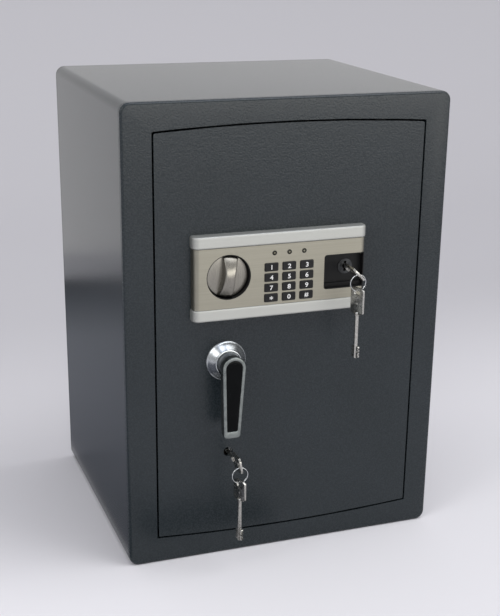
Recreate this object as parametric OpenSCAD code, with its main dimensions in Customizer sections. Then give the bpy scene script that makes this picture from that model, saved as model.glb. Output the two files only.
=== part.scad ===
// Electronic safe: folded steel cabinet, hinged door with its bolt work, keypad lock and two keys.
// The frame's origin is the centre of the cabinet's underside, +Z is up and the door faces -Y.

/* [Cabinet] */
// Width of the cabinet
body_w = 350; // [345:1:420]
// Height of the cabinet
body_h = 490; // [485:1:600]
// Depth of the cabinet
body_d = 300; // [260:1:420]
// Thickness of the folded wrap and of the back
wall = 3; // [2:0.5:4]
// Thickness of the welded front frame
frame_t = 6.5; // [6.2:0.1:8]
// Radius of the four long edges, seen from the front
corner_r = 10; // [6:1:14]
// Rounding of the front edges
edge_r = 3; // [1:0.5:3]
// Radius of the anchor holes
anchor_r = 6; // [4:0.5:8]
// Distance between the two anchor holes
anchor_pitch = 180; // [120:5:200]

/* [Door] */
// Width of the frame left of the door
frame_left = 30.35; // [28:0.05:36]
// Width of the frame right of the door
frame_right = 27.15; // [26:0.05:36]
// Height of the frame below the door's corners
frame_below = 28.5; // [26:0.5:36]
// Height of the frame above the door's corners
frame_above = 28; // [26:0.5:36]
// Rise of the arched top and bottom edges
arch = 5; // [2:0.5:6]
// Gap round the leaf
gap = 2; // [1.8:0.1:2.6]
// Thickness of the leaf
leaf_t = 4; // [3.5:0.1:4]
// Wall of the tray behind the leaf
tray_wall = 2; // [1.5:0.5:2.5]
// Depth of the tray behind the leaf
tray_d = 34; // [34:0.5:35]
// Radius of the hinge pins
hinge_r = 3; // [2.5:0.1:3.2]

/* [Bolt work] */
// Radius of the locking bolts
bolt_r = 9; // [7:0.5:9.5]
// Distance of the outer locking bolts from the door's corners
bolt_in = 75; // [60:1:90]
// Radius of the crank that throws the bolts
crank_r = 22; // [20:0.5:23]
// Angle through which the handle turns
throw_angle = 50; // [40:1:52]

/* [Panel] */
// Width of the keypad panel
panel_w = 188; // [184:0.5:190]
// Height of the keypad panel
panel_h = 88; // [86:0.5:92]
// How far the panel stands out from the leaf
panel_d = 12; // [12:0.5:14]
// Rounding of the panel's ends
panel_r = 7; // [4:0.5:8]
// Height of each trim bar
bar_h = 12.5; // [10:0.5:13]
// Height of the panel's middle above the floor
panel_z = 314; // [312:0.5:318]
// Radius of the knob's well
well_r = 23.4; // [22:0.1:24]
// Width of a key
key_w = 14.7; // [12:0.1:15]
// Height of a key
key_h = 8.6; // [7:0.1:9]
// Distance between columns of keys
key_dx = 19.3; // [18:0.1:20]
// Distance between rows of keys
key_dz = 10.8; // [10.5:0.1:11]
// Travel of a key
key_travel = 1.2; // [0.8:0.1:1.3]
// Radius of the indicator lights
led_r = 2.5; // [1.5:0.1:3]

/* [Handle] */
// Radius of the handle's rose
rose_r = 21.5; // [20:0.5:24]
// Height of the handle's axis above the floor
handle_z = 223; // [221:0.5:225]
// Radius of the lever's head
lever_r = 12.5; // [10.5:0.1:14]
// Length of the lever below its axis
lever_len = 76.5; // [60:0.5:90]
// Width of the lever at its tip
tip_w = 18.5; // [15:0.5:20]
// Thickness of the lever
lever_t = 9; // [7:0.5:12]
// Lean of the lever from the vertical
lever_tilt = 1.5; // [0:0.5:3]

/* [Locks and keys] */
// Height of the main keyhole above the floor
main_z = 119; // [117:0.5:121]
// Radius of the main keyhole
keyhole_r = 5.2; // [5:0.1:6]
// Radius of the override lock's face
override_r = 8; // [7.5:0.5:9]
// Width of a key's bow
bow_w = 18; // [16:0.5:18.5]
// Length of a main key's bow
bow_l = 23; // [22:0.5:26]
// Length of an override key's bow
long_bow_l = 28; // [24:0.5:30]
// Thickness of a key's bow
bow_t = 2.4; // [2:0.1:2.6]
// Radius of a key's shank
shank_r = 2.1; // [1.8:0.1:2.2]
// Length of a main key from end to end
key_l = 70; // [66:1:74]
// Length of an override key from end to end
long_key_l = 76; // [70:1:80]
// Radius of a key ring, at the middle of its wire
ring_r = 8.6; // [8.4:0.1:12]
// Radius of a key ring's wire
wire_r = 0.65; // [0.5:0.05:0.8]

/* [Inside] */
// Height of the shelf above the floor
shelf_z = 248; // [120:1:400]
// Distance of the shelf's edge behind the cabinet's front
shelf_in = 75; // [70:1:120]
// Thickness of the shelf
shelf_t = 1.5; // [1:0.1:2]
// Thickness of the carpet
mat_t = 3; // [2:0.5:5]
// Radius of a battery
cell_r = 7.1; // [7:0.05:7.25]
// Length of a battery
cell_l = 50; // [48:0.5:50.5]

/* [Hidden] */

// faces of the drawn circles, and of the very large arcs
$fn = 48;
arc_fn = 720;
// running clearance of a shaft, and the least gap of loose neighbours
run = 0.05;
slack = 0.3;

// levels along Y, from the front
front_y = -body_d / 2;
back_y = body_d / 2;
leaf_back = front_y + leaf_t;
tray_back = leaf_back + tray_d;
cover_t = 1.5;
cover_back = tray_back + cover_t;
stop_y = cover_back + 4.5;
stop_t = 3;
panel_y = front_y - panel_d;

// outline of the leaf
door_x0 = -body_w / 2 + frame_left + gap;
door_x1 = body_w / 2 - frame_right - gap;
door_z = frame_below + gap;
door_top = body_h - frame_above - gap;
door_w = door_x1 - door_x0;
door_h = door_top - door_z;
door_x = (door_x0 + door_x1) / 2;
leaf_corner = 2;

// hinge axis, set in from the leaf's right edge and back from its face
hinge_in = 25;
hinge_back = 9.2;
hinge_x = door_x1 - hinge_in;
hinge_y = front_y + hinge_back;
boss_r = hinge_y - leaf_back - 0.4;
arm_t = 6;
arm_gap = 0.6;

// tray
tray_x0 = door_x0 + 6;
tray_x1 = hinge_x + 8;
tray_z0 = door_z + 13.5;
tray_z1 = door_top - 14;
lip_w = 10;
pin_l = tray_wall + arm_gap + arm_t;
pin_head = 1.6;
screw_r = 2;
screw_in = 6.5;

// bolt work
handle_x = -69;
bolt_y = tray_back - 16;
bolt_tip = door_x0 + 2.6;
bolt_zs = [door_z + bolt_in, (door_z + door_top) / 2, door_top - bolt_in];
half_throw = throw_angle / 2;
travel = 2 * crank_r * sin(half_throw);
carriage_y = tray_back - 6;
carriage_t = 3;
flange_x = tray_x0 + 26.6;
flange_t = 4;
carriage_z0 = bolt_zs[0] - 12;
carriage_z1 = bolt_zs[2] + 12;
crank_pin_r = 4;
spindle_r = 6;
crank_y = tray_back - 15;
crank_t = 4;
stud_x = flange_x + 16;
stud_r = 4;
stud_collar = 7;
stud_zs = [main_z + 35, panel_z + 33];
spigot_r = 4;
keeper_x = door_x0 - gap - 5.4;
keeper_t = 4;
nut_r = 7;
nut_t = 5;
keeper_y1 = tray_back + 4;
bolt_slack = 0.8;
// a blocker stands between the two end places of a tab on the carriage
tab_w = 6;
tab_gap = 1.3;
block_w = travel - tab_w - 2 * tab_gap;

// panel
panel_x = -13.2;
fascia_t = 2;
fascia_h = panel_h - 2 * bar_h;
fascia_inset = 1;
base_t = 2;
knob_x = panel_x - panel_w / 2 + 37.4;
knob_z = panel_z + 1.1;
well_wall = 0.9;
knob_r = well_r - well_wall - 0.5;
knob_face = front_y - 6;
knob_t = 2.7;
knob_crown = 11;
knob_spindle_r = 4;
pad_x = panel_x + 8.1;
pcb_w = 62;
pcb_h = 56;
pad_w = 56;
pad_h = 45;
pad_z = panel_z - 8.1;
led_z = panel_z + 22.6;
led_dx = 16.1;
key_slack = 0.2;
key_proud = 1.1;
pcb_t = 1.6;
pcb_y = front_y - base_t - pcb_t;
pad_t = 1.6;
dome_h = 0.2;
key_front = panel_y + 0.5 - key_proud;
key_back = pcb_y - pad_t - dome_h - key_travel - 0.1;
win_w = 44.6;
win_x1 = panel_x + panel_w / 2 - fascia_inset - 1.5;
win_x0 = win_x1 - win_w;
win_z0 = panel_z - 20.9;
win_z1 = panel_z + 15.8;
win_wall = 1;
win_floor = front_y - 4;
override_x = win_x1 - 18.3;
override_z = panel_z + 0.5;
override_face = win_floor - 0.6;

// knob lock: the cam's pin lowers the release bar
cam_r = 12;
cam_t = 6;
cam_y = leaf_back + 4;
cam_pin = 8;
cam_half = 30;
small_pin = 2;
pin_slack = 0.35;
bar_y = cam_y + cam_t + 4;
bar_t = 4;
bar_w = 26;
bar_body = 24;
bar_drop = 2 * cam_pin * sin(cam_half);
bar_z = knob_z + cam_pin * sin(cam_half);
case_wall = 2;
knob_case_w = bar_w + 1 + 2 * case_wall + 2;
knob_case_z0 = bar_z - bar_body / 2 - bar_drop - 5;
knob_case_z1 = bar_z + bar_body / 2 + 7;
knob_case_y1 = bar_y + bar_t + 4;
finger_z = bar_z + 3;
finger_t = 2;
plunger_r = 2.5;
plunger_z = finger_z + finger_t / 2 - bar_drop / 2;
plunger_y = bar_y + bar_t / 2;
plunger_travel = 6;
coil_r = 10;
coil_x0 = knob_x + 31;
coil_x1 = coil_x0 + 27;
plunger_tip = coil_x0 - 5;
knob_tab_z = knob_case_z0 - 19;

// main lock: the rotor's pin lifts the lock bolt
main_x = -65.5;
// the carriage reaches past the tabs beside both locks
carriage_x1 = max(main_x, knob_x) + block_w / 2 + tab_gap + tab_w + 3;
main_case_w = 44;
main_case_z0 = main_z - 27;
main_case_z1 = main_z + 26;
main_case_y1 = carriage_y - 1;
rotor_r = 9;
rotor_pin = 6.4;
rotor_half = 45;
lift = 2 * rotor_pin * sin(rotor_half);
latch_y = leaf_back + case_wall + 0.5;
latch_t = 4;
rotor_y = latch_y + latch_t + 0.5;
rotor_y1 = main_case_y1 - case_wall - 0.4;
latch_w = 20;
latch_z0 = main_z - 13;
latch_z1 = main_z + 9;
latch_top = main_case_z1 + 9;
main_tab_z = latch_top + 3;
tab_h = 14;

// keys and rings
main_roll = 80;
override_roll = 45;
bit_half = 4.8;
bit_t = 2.2;
bit_l = 12;
slot_w = 8;
slot_h = 5;
slot_in = 5;
key_room = 0.3;
spare_turn = 20;
main_key_tip = rotor_y1 - 0.6;
// how far the ring's wire lies from the middle of a bow's slot, towards the bow's lower side
main_shift = 2.8;
override_shift = 1.15;
override_rotor_y = override_face + 3;
override_rotor_y1 = leaf_back + 32;
override_bore = 6.5;
override_key_tip = override_rotor_y1 - 2;

// battery box
box_x = 52;
box_z = panel_z - 16;
box_wall = 2;
box_w = 8 * cell_r + 2 * box_wall + 1.5;
box_h = cell_l + 2 * box_wall + 1;
box_d = 2 * cell_r + box_wall + 1;
lid_t = 1.6;
rail_w = 2;

// handle
neck_r = 10;
neck_y = front_y - 9.3;
lever_back = front_y - 20;
lever_front = lever_back - lever_t;
lever_rim = 4;
lever_foot = 7;
inlay_deep = 1.8;
inlay_gap = 0.15;

// shelf
shelf_y0 = front_y + shelf_in;
shelf_y1 = back_y - wall - 12;

// colours of the finishes
paint = "#3c4144";
black = "#1c1c1d";
nickel = "#a19d92";
silver = "#c9c9c9";
chrome = "#c4c8ce";
steel = "#8e9092";
brass = "#b59a5a";

// a flat shape drawn in X and Z, thickened from the level y towards the back
module slab(y, t) {
  translate([0, y + t, 0]) rotate([90, 0, 0]) linear_extrude(t) children();
}

// a cylinder along Y from the level y towards the back
module rod_y(x, y, z, r, l) {
  translate([x, y, z]) rotate([-90, 0, 0]) cylinder(r = r, h = l);
}

// a cylinder along X
module rod_x(x, y, z, r, l) {
  translate([x, y, z]) rotate([0, 90, 0]) cylinder(r = r, h = l);
}

// a block given by its low corner and its high corner
module block(low, high) {
  translate(low) cube(high - low);
}

// a rectangle with four round corners, centred
module rounded(w, h, r) {
  square([w - 2 * r, h], center = true);
  square([w, h - 2 * r], center = true);
  for (sx = [-1, 1], sz = [-1, 1]) translate([sx * (w / 2 - r), sz * (h / 2 - r)]) circle(r);
}

// the cabinet's front view, drawn in by an inset
module cabinet_outline(inset) {
  translate([0, body_h / 2]) rounded(body_w - 2 * inset, body_h - 2 * inset, max(corner_r - inset, 1));
}

// the leaf's outline, grown all round: straight sides, arched top and bottom
module leaf_outline(grow) {
  w = door_w + 2 * grow;
  arc_r = (pow(door_w / 2, 2) + arch * arch) / (2 * arch);
  mid = door_z + door_h / 2;
  reach = door_h / 2 + arch + grow;
  difference() {
    intersection() {
      translate([door_x - w / 2, door_z - 2 * arch]) square([w, door_h + 4 * arch]);
      translate([door_x, mid + reach - arc_r]) circle(arc_r, $fn = arc_fn);
      translate([door_x, mid - reach + arc_r]) circle(arc_r, $fn = arc_fn);
    }
    for (sx = [-1, 1]) leaf_corner_cut(sx, w, mid + reach - arc_r, arc_r);
  }
}

// rounds one upper corner, tangent to the arched edge and to the side
module leaf_corner_cut(sx, w, arc_z, arc_r) {
  cx = w / 2 - leaf_corner;
  cz = arc_z + sqrt(pow(arc_r - leaf_corner, 2) - cx * cx);
  translate([door_x + sx * cx, cz]) mirror([sx < 0 ? 1 : 0, 0]) difference() {
    square(3 * leaf_corner);
    circle(leaf_corner);
  }
}

module anchor_holes_z(z, l) {
  for (sx = [-1, 1]) translate([sx * anchor_pitch / 2, 0, z]) cylinder(r = anchor_r, h = l);
}

module cabinet_wrap() {
  color(paint) difference() {
    slab(front_y + frame_t, body_d - frame_t - wall) difference() {
      cabinet_outline(0);
      cabinet_outline(wall);
    }
    anchor_holes_z(-1, wall + 2);
  }
}

module back_plate() {
  color(paint) slab(back_y - wall, wall) difference() {
    cabinet_outline(0);
    for (sx = [-1, 1]) translate([sx * anchor_pitch / 2, body_h / 2]) circle(anchor_r);
  }
}

// the front frame, its outer edge rounded by four bars and four quarter rings
module front_frame() {
  color(paint) difference() {
    frame_rounded();
    slab(front_y - 1, frame_t + 2) leaf_outline(gap);
  }
}

module frame_rounded() {
  slab(front_y + edge_r, frame_t - edge_r) cabinet_outline(0);
  slab(front_y, frame_t) cabinet_outline(edge_r);
  for (sx = [-1, 1]) translate([sx * (body_w / 2 - edge_r), front_y + edge_r, corner_r])
    cylinder(r = edge_r, h = body_h - 2 * corner_r);
  for (z = [edge_r, body_h - edge_r])
    rod_x(-body_w / 2 + corner_r, front_y + edge_r, z, edge_r, body_w - 2 * corner_r);
  for (sx = [-1, 1], z = [corner_r, body_h - corner_r])
    translate([sx * (body_w / 2 - corner_r), front_y + edge_r, z]) rotate([90, 0, 0])
      rotate_extrude() translate([corner_r - edge_r, 0]) intersection() {
        circle(edge_r);
        translate([-min(edge_r, corner_r - edge_r), -edge_r]) square(2 * edge_r);
      }
}

// the inner frame that the closed door lies against
module door_stop() {
  opening_x0 = tray_x0 + 8;
  opening_x1 = tray_x1 - 8;
  opening_z0 = tray_z0 + 8;
  opening_z1 = tray_z1 - 8;
  color(paint) slab(stop_y, stop_t) difference() {
    cabinet_outline(wall);
    translate([opening_x0, opening_z0]) square([opening_x1 - opening_x0, opening_z1 - opening_z0]);
  }
}

// upright angle behind the left jamb, with a square slot for each locking bolt, open at the back
module bolt_keeper() {
  y0 = front_y + frame_t;
  room = bolt_r + bolt_slack;
  color(paint) difference() {
    union() {
      block([keeper_x, y0, carriage_z0], [keeper_x + keeper_t, keeper_y1, carriage_z1]);
      block([-body_w / 2 + wall, y0, carriage_z0], [keeper_x + keeper_t, y0 + keeper_t, carriage_z1]);
    }
    for (z = bolt_zs) block([keeper_x - 1, bolt_y - room, z - room],
      [keeper_x + keeper_t + 1, keeper_y1 + 1, z + room]);
  }
}

// one arm that carries a hinge pin, reaching it from the left so that the leaf can turn past it
module hinge_arm(z, t, post_z0, post_z1) {
  arm = 25;
  post = 12;
  difference() {
    union() {
      translate([hinge_x, hinge_y, z]) cylinder(r = boss_r, h = t);
      block([hinge_x - arm, hinge_y - boss_r, z], [hinge_x, hinge_y + boss_r, z + t]);
      block([hinge_x - arm, hinge_y, z], [hinge_x - arm + post + 5, hinge_y + 16, z + t]);
      block([hinge_x - arm, hinge_y + 4, post_z0], [hinge_x - arm + post, hinge_y + 16, post_z1]);
    }
    translate([hinge_x, hinge_y, z - 1]) cylinder(r = hinge_r + run, h = t + 2);
  }
}

module hinge_brackets() {
  color(steel) {
    hinge_arm(tray_z1 + arm_gap, arm_t, tray_z1 + arm_gap, body_h - wall);
    hinge_arm(tray_z0 - arm_gap - arm_t, arm_t, wall, tray_z0 - arm_gap);
  }
}

module shelf_brackets() {
  t = 2;
  arm = 18;
  inset = 10;
  color(paint) for (sx = [-1, 1]) mirror([sx < 0 ? 1 : 0, 0, 0]) {
    x = body_w / 2 - wall;
    block([x - t, shelf_y0 + inset, shelf_z - arm], [x, shelf_y1 - inset, shelf_z]);
    block([x - arm, shelf_y0 + inset, shelf_z - t], [x, shelf_y1 - inset, shelf_z]);
  }
}

// removable shelf with a turned-down front edge
module shelf() {
  half = body_w / 2 - wall - 1;
  color(paint) {
    block([-half, shelf_y0, shelf_z], [half, shelf_y1, shelf_z + shelf_t]);
    block([-half + 22, shelf_y0, shelf_z - 14], [half - 22, shelf_y0 + shelf_t, shelf_z + shelf_t]);
  }
}

module carpet_mat() {
  half = body_w / 2 - wall - 2;
  edge = corner_r - wall;
  color("#2b2c2e") block([-half + edge, stop_y + stop_t + 1, wall],
    [half - edge, back_y - wall - 1, wall + mat_t]);
}

module door_plate() {
  color(paint) difference() {
    slab(front_y, leaf_t) leaf_outline(0);
    rod_y(handle_x, front_y - 1, handle_z, spindle_r + run, leaf_t + 2);
    rod_y(knob_x, front_y - 1, knob_z, knob_spindle_r + run, leaf_t + 2);
    rod_y(main_x, front_y - 1, main_z, keyhole_r, leaf_t + 2);
    rod_y(override_x, front_y - 1, override_z, override_r, leaf_t + 2);
  }
}

// pan behind the leaf: four walls with an inward lip for the inner cover
module door_tray() {
  color(paint) difference() {
    block([tray_x0, leaf_back, tray_z0], [tray_x1, tray_back, tray_z1]);
    block([tray_x0 + tray_wall, leaf_back - 1, tray_z0 + tray_wall],
      [tray_x1 - tray_wall, tray_back - tray_wall, tray_z1 - tray_wall]);
    block([tray_x0 + lip_w, leaf_back, tray_z0 + lip_w], [tray_x1 - lip_w, tray_back + 1, tray_z1 - lip_w]);
    for (z = bolt_zs) rod_x(tray_x0 - 1, bolt_y, z, bolt_r + slack, tray_wall + 2);
    translate([hinge_x, hinge_y, tray_z0 - 1]) cylinder(r = hinge_r, h = tray_wall + 2);
    translate([hinge_x, hinge_y, tray_z1 - tray_wall - 1]) cylinder(r = hinge_r, h = tray_wall + 2);
    screw_places() rod_y(0, tray_back - tray_wall - 1, 0, screw_r, tray_wall + 2);
  }
}

module hinge_pins() {
  head_r = min(hinge_r + 1.5, tray_x1 - tray_wall - hinge_x - 0.2);
  color(steel) {
    translate([hinge_x, hinge_y, tray_z1 - tray_wall - 1]) cylinder(r = hinge_r, h = pin_l + 1);
    translate([hinge_x, hinge_y, tray_z1 - tray_wall - pin_head]) cylinder(r = head_r, h = pin_head);
    translate([hinge_x, hinge_y, tray_z0 + tray_wall - pin_l]) cylinder(r = hinge_r, h = pin_l + 1);
    translate([hinge_x, hinge_y, tray_z0 + tray_wall]) cylinder(r = head_r, h = pin_head);
  }
}

// the eight screws that hold the inner cover, at the corners and the middles of its edges
module screw_places() {
  xm = (tray_x0 + tray_x1) / 2;
  zm = (tray_z0 + tray_z1) / 2;
  for (x = [tray_x0 + screw_in, xm, tray_x1 - screw_in], z = [tray_z0 + screw_in, zm, tray_z1 - screw_in])
    if (x != xm || z != zm) translate([x, 0, z]) children();
}

module inner_cover() {
  color(paint) difference() {
    block([tray_x0, tray_back, tray_z0], [tray_x1, cover_back, tray_z1]);
    screw_places() rod_y(0, tray_back - 1, 0, screw_r, cover_t + 2);
  }
}

module cover_screws() {
  color(silver) screw_places() {
    rod_y(0, tray_back - tray_wall, 0, screw_r, cover_t + tray_wall + 0.5);
    difference() {
      rod_y(0, cover_back, 0, 2 * screw_r, 1.8);
      for (a = [0, 90]) translate([0, cover_back + 2.4, 0]) rotate([0, a, 0])
        cube([5, 2.2, 0.9], center = true);
    }
  }
}

// two shouldered studs that carry the sliding carriage
module guide_studs() {
  shank_y = carriage_y - slack;
  color(steel) for (z = stud_zs) {
    rod_y(stud_x, leaf_back, z, stud_collar, shank_y - leaf_back);
    rod_y(stud_x, shank_y - 1, z, stud_r, carriage_t + 2 * slack + 1.5);
    rod_y(stud_x, shank_y + carriage_t + 2 * slack, z, stud_collar - 0.5, 1.4);
  }
}

module lock_cases() {
  color(steel) {
    main_lock_case();
    knob_lock_case();
  }
}

module main_lock_case() {
  x0 = main_x - main_case_w / 2;
  x1 = main_x + main_case_w / 2;
  w = case_wall;
  difference() {
    block([x0, leaf_back, main_case_z0], [x1, main_case_y1, main_case_z1]);
    block([x0 + w, leaf_back + w, main_case_z0 + w], [x1 - w, main_case_y1 - w, main_case_z1 - w]);
    rod_y(main_x, leaf_back - 1, main_z, keyhole_r, w + 2);
    block([main_x - block_w / 2 - slack, latch_y - slack, main_case_z1 - w - 1],
      [main_x + block_w / 2 + slack, latch_y + latch_t + slack, main_case_z1 + 1]);
  }
}

module knob_lock_case() {
  x0 = knob_x - knob_case_w / 2;
  x1 = knob_x + knob_case_w / 2;
  w = case_wall;
  difference() {
    block([x0, leaf_back, knob_case_z0], [x1, knob_case_y1, knob_case_z1]);
    block([x0 + w, leaf_back + w, knob_case_z0 + w], [x1 - w, knob_case_y1 - w, knob_case_z1 - w]);
    rod_y(knob_x, leaf_back - 1, knob_z, knob_spindle_r + slack, w + 2);
    block([knob_x - block_w / 2 - slack, bar_y - slack, knob_case_z0 - 1],
      [knob_x + block_w / 2 + slack, bar_y + bar_t + slack, knob_case_z0 + w + 1]);
    block([x1 - w - 1, bar_y - 1.5, finger_z - bar_drop - 1.5],
      [x1 + 1, bar_y + bar_t + 1.5, finger_z + finger_t + 1]);
  }
}

// U-shaped yoke round the coil
module solenoid() {
  y0 = leaf_back;
  y1 = plunger_y + coil_r + 1;
  t = 1.5;
  color(steel) difference() {
    union() {
      block([coil_x0 - t, y0, plunger_z - coil_r], [coil_x0, y1, plunger_z + coil_r]);
      block([coil_x1, y0, plunger_z - coil_r], [coil_x1 + t, y1, plunger_z + coil_r]);
      block([coil_x0 - t, y0, plunger_z - coil_r], [coil_x1 + t, y0 + t, plunger_z + coil_r]);
    }
    rod_x(coil_x0 - t - 1, plunger_y, plunger_z, plunger_r + 0.1, t + 2);
  }
  color("#7a2f24") difference() {
    rod_x(coil_x0, plunger_y, plunger_z, coil_r, coil_x1 - coil_x0);
    rod_x(coil_x0 - 1, plunger_y, plunger_z, plunger_r + 0.1, coil_x1 - coil_x0 - 2);
  }
}

module solenoid_plunger() {
  color(silver) rod_x(plunger_tip, plunger_y, plunger_z, plunger_r, coil_x1 - coil_x0 - 4);
}

module battery_box() {
  x0 = box_x - box_w / 2;
  x1 = box_x + box_w / 2;
  z0 = box_z - box_h / 2;
  z1 = box_z + box_h / 2;
  y1 = cover_back + box_d;
  rail_y = y1 + lid_t + 2 * slack;
  color(black) difference() {
    union() {
      block([x0, cover_back, z0], [x1, y1, z1]);
      for (sx = [-1, 1]) translate([box_x, 0, 0]) mirror([sx < 0 ? 1 : 0, 0, 0]) {
        block([box_w / 2 - slack, cover_back, z0], [box_w / 2 + rail_w, rail_y + 1, z1]);
        block([box_w / 2 - rail_w, rail_y, z0], [box_w / 2 + rail_w, rail_y + 1.2, z1]);
      }
    }
    block([x0 + box_wall, cover_back + box_wall, z0 + box_wall], [x1 - box_wall, y1 + 1, z1 - box_wall]);
  }
}

module batteries() {
  l = cell_l;
  y = cover_back + box_wall + cell_r;
  color(brass) for (i = [0:3]) translate([box_x + (i - 1.5) * (2 * cell_r + 0.2), y, box_z]) {
    mirror([0, 0, i % 2]) {
      translate([0, 0, -l / 2]) cylinder(r = cell_r, h = l - 1.2);
      translate([0, 0, l / 2 - 2.2]) cylinder(r = 2.6, h = 2.2);
    }
  }
}

// the box's lid slides upward in its rails
module battery_cover() {
  y = cover_back + box_d + slack;
  w = box_w - 2 * slack - 0.4;
  color(black) difference() {
    block([box_x - w / 2, y, box_z - box_h / 2], [box_x + w / 2, y + lid_t, box_z + box_h / 2]);
    for (i = [-2:2]) block([box_x - 8, y + lid_t - 0.5, box_z - 14 + 3 * i - 0.6],
      [box_x + 8, y + lid_t + 1, box_z - 14 + 3 * i + 0.6]);
  }
}

// plan of a bar across the panel: flat back, two rounded front corners
module panel_plan(w, d, r) {
  translate([panel_x, front_y]) intersection() {
    translate([-w / 2, -d]) square([w, d]);
    union() {
      translate([-w / 2, -d + r]) square([w, d - r]);
      translate([-w / 2 + r, -d]) square([w - 2 * r, d]);
      for (sx = [-1, 1]) translate([sx * (w / 2 - r), -d + r]) circle(r);
    }
  }
}

module panel_layer(z0, h) {
  translate([0, 0, z0]) linear_extrude(h) children();
}

module trim_bars() {
  color(silver) for (z = [panel_z - panel_h / 2, panel_z + panel_h / 2 - bar_h])
    panel_layer(z, bar_h) difference() {
      panel_plan(panel_w, panel_d, panel_r);
      translate([panel_x - panel_w / 2 + 10, front_y - panel_d + 3]) square([panel_w - 20, panel_d - 2.9]);
    }
}

// brushed front, folded back at both ends, with its openings
module panel_fascia() {
  w = panel_w - 2 * fascia_inset;
  z0 = panel_z - fascia_h / 2;
  d = panel_d - 0.5;
  color(nickel) difference() {
    panel_layer(z0, fascia_h) difference() {
      panel_plan(w, d, panel_r - fascia_inset);
      panel_plan(w - 2 * fascia_t, d - fascia_t, panel_r - fascia_inset - fascia_t);
    }
    rod_y(knob_x, panel_y - 1, knob_z, well_r, panel_d);
    for (i = [-1:1]) rod_y(pad_x + i * led_dx, panel_y - 1, led_z, led_r, panel_d);
    for (c = [0:2], r = [0:3]) key_prism(c, r, key_slack, panel_y - 1, panel_d);
    slab(panel_y - 1, panel_d + 2) window_shape();
  }
}

// the window's outline, rounded at its left
module window_shape() {
  r = 3;
  w = win_x1 - win_x0;
  h = win_z1 - win_z0;
  translate([(win_x0 + win_x1) / 2, (win_z0 + win_z1) / 2]) rounded(w, h, r);
  translate([win_x1 - 2 * r, win_z0]) square([2 * r, h]);
}

module panel_base() {
  w = panel_w - 2 * fascia_inset - 2 * fascia_t - 0.4;
  z0 = panel_z - fascia_h / 2 + 0.2;
  color(black) difference() {
    block([panel_x - w / 2, front_y - base_t, z0], [panel_x + w / 2, front_y, z0 + fascia_h - 0.4]);
    rod_y(knob_x, front_y - base_t - 1, knob_z, knob_spindle_r + slack, base_t + 2);
    block([win_x0 - 2, front_y - base_t - 1, win_z0 - 2], [panel_x + w / 2 + 1, front_y + 1, win_z1 + 2]);
  }
}

// black cup round the knob
module knob_well() {
  y0 = panel_y + 0.8;
  y1 = front_y - base_t;
  color(black) difference() {
    rod_y(knob_x, y0, knob_z, well_r, y1 - y0);
    rod_y(knob_x, y0 - 1, knob_z, well_r - well_wall, y1 - y0);
    rod_y(knob_x, y0 - 1, knob_z, knob_spindle_r + slack, panel_d);
  }
}

// black pocket that holds the override lock, with a ledge along its foot
module lock_recess() {
  y0 = panel_y + 0.8;
  ledge = 4;
  color(black) difference() {
    slab(y0, front_y - y0) window_shape();
    block([win_x0 + win_wall, y0 - 1, win_z0 + win_wall + ledge],
      [win_x1 - win_wall, win_floor, win_z1 - win_wall]);
    block([win_x0 + win_wall, y0 - 1, win_z0 + win_wall],
      [win_x1 - win_wall, win_floor - 2.5, win_z1 - win_wall]);
    rod_y(override_x, panel_y, override_z, override_r, panel_d + 1);
  }
}

module circuit_board() {
  color("#1f5c3a") difference() {
    block([pad_x - pcb_w / 2, pcb_y, panel_z - pcb_h / 2],
      [pad_x + pcb_w / 2, pcb_y + pcb_t, panel_z + pcb_h / 2]);
    for (sx = [-1, 1])
      rod_y(pad_x + sx * (pcb_w / 2 - 3), pcb_y - 1, panel_z - pcb_h / 2 + 3, 1.5, pcb_t + 2);
  }
}

// rubber mat with a low dome under each key
module keypad_mat() {
  color("#4a4a4a") {
    block([pad_x - pad_w / 2, pcb_y - pad_t, pad_z - pad_h / 2],
      [pad_x + pad_w / 2, pcb_y, pad_z + pad_h / 2]);
    for (c = [0:2], r = [0:3]) rod_y(key_cx(c), pcb_y - pad_t - dome_h, key_cz(r), 3, dome_h);
  }
}

module indicator_lights() {
  color("#3a4038") for (i = [-1:1]) {
    rod_y(pad_x + i * led_dx, panel_y + 0.2, led_z, led_r, pcb_y - panel_y - 0.2);
  }
}

function key_cx(c) = pad_x + (c - 1) * key_dx;
function key_cz(r) = pad_z + (1.5 - r) * key_dz;

// a key's cross-section, grown all round, pushed through the level y
module key_prism(c, r, grow, y, l) {
  translate([key_cx(c), 0, key_cz(r)]) slab(y, l) rounded(key_w + 2 * grow, key_h + 2 * grow, 1.2 + grow);
}

module key_button(c, r) {
  color(black) key_prism(c, r, 0, key_front, key_back - key_front);
}

module knob() {
  half = knob_r - 0.6;
  rise = knob_crown;
  end_drop = rise - 3;
  crown_r = (half * half + end_drop * end_drop) / (2 * end_drop);
  waist_r = 150;
  color(nickel) {
    rod_y(knob_x, knob_face, knob_z, knob_r, knob_t);
    translate([knob_x, knob_face, knob_z]) intersection() {
      translate([-8, -rise, -half]) cube([16, rise, 2 * half]);
      rod_x(-10, crown_r - rise, 0, crown_r, 20);
      rod_y(0, -rise - 1, 0, half, rise + 2);
      difference() {
        translate([-8, -rise - 1, -half]) cube([16, rise + 2, 2 * half]);
        for (sx = [-1, 1]) rod_y(sx * (waist_r + 5.6), -rise - 2, 0, waist_r, rise + 4, $fn = 240);
      }
    }
  }
}

// spindle, disc and eccentric pin behind the knob
module knob_cam() {
  a = cam_half;
  color(steel) {
    rod_y(knob_x, knob_face + knob_t, knob_z, knob_spindle_r, cam_y + 1 - knob_face - knob_t);
    rod_y(knob_x, cam_y, knob_z, cam_r, cam_t);
    rod_y(knob_x + cam_pin * cos(a), cam_y + 1, knob_z + cam_pin * sin(a), small_pin, bar_y + bar_t - cam_y);
  }
}

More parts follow.
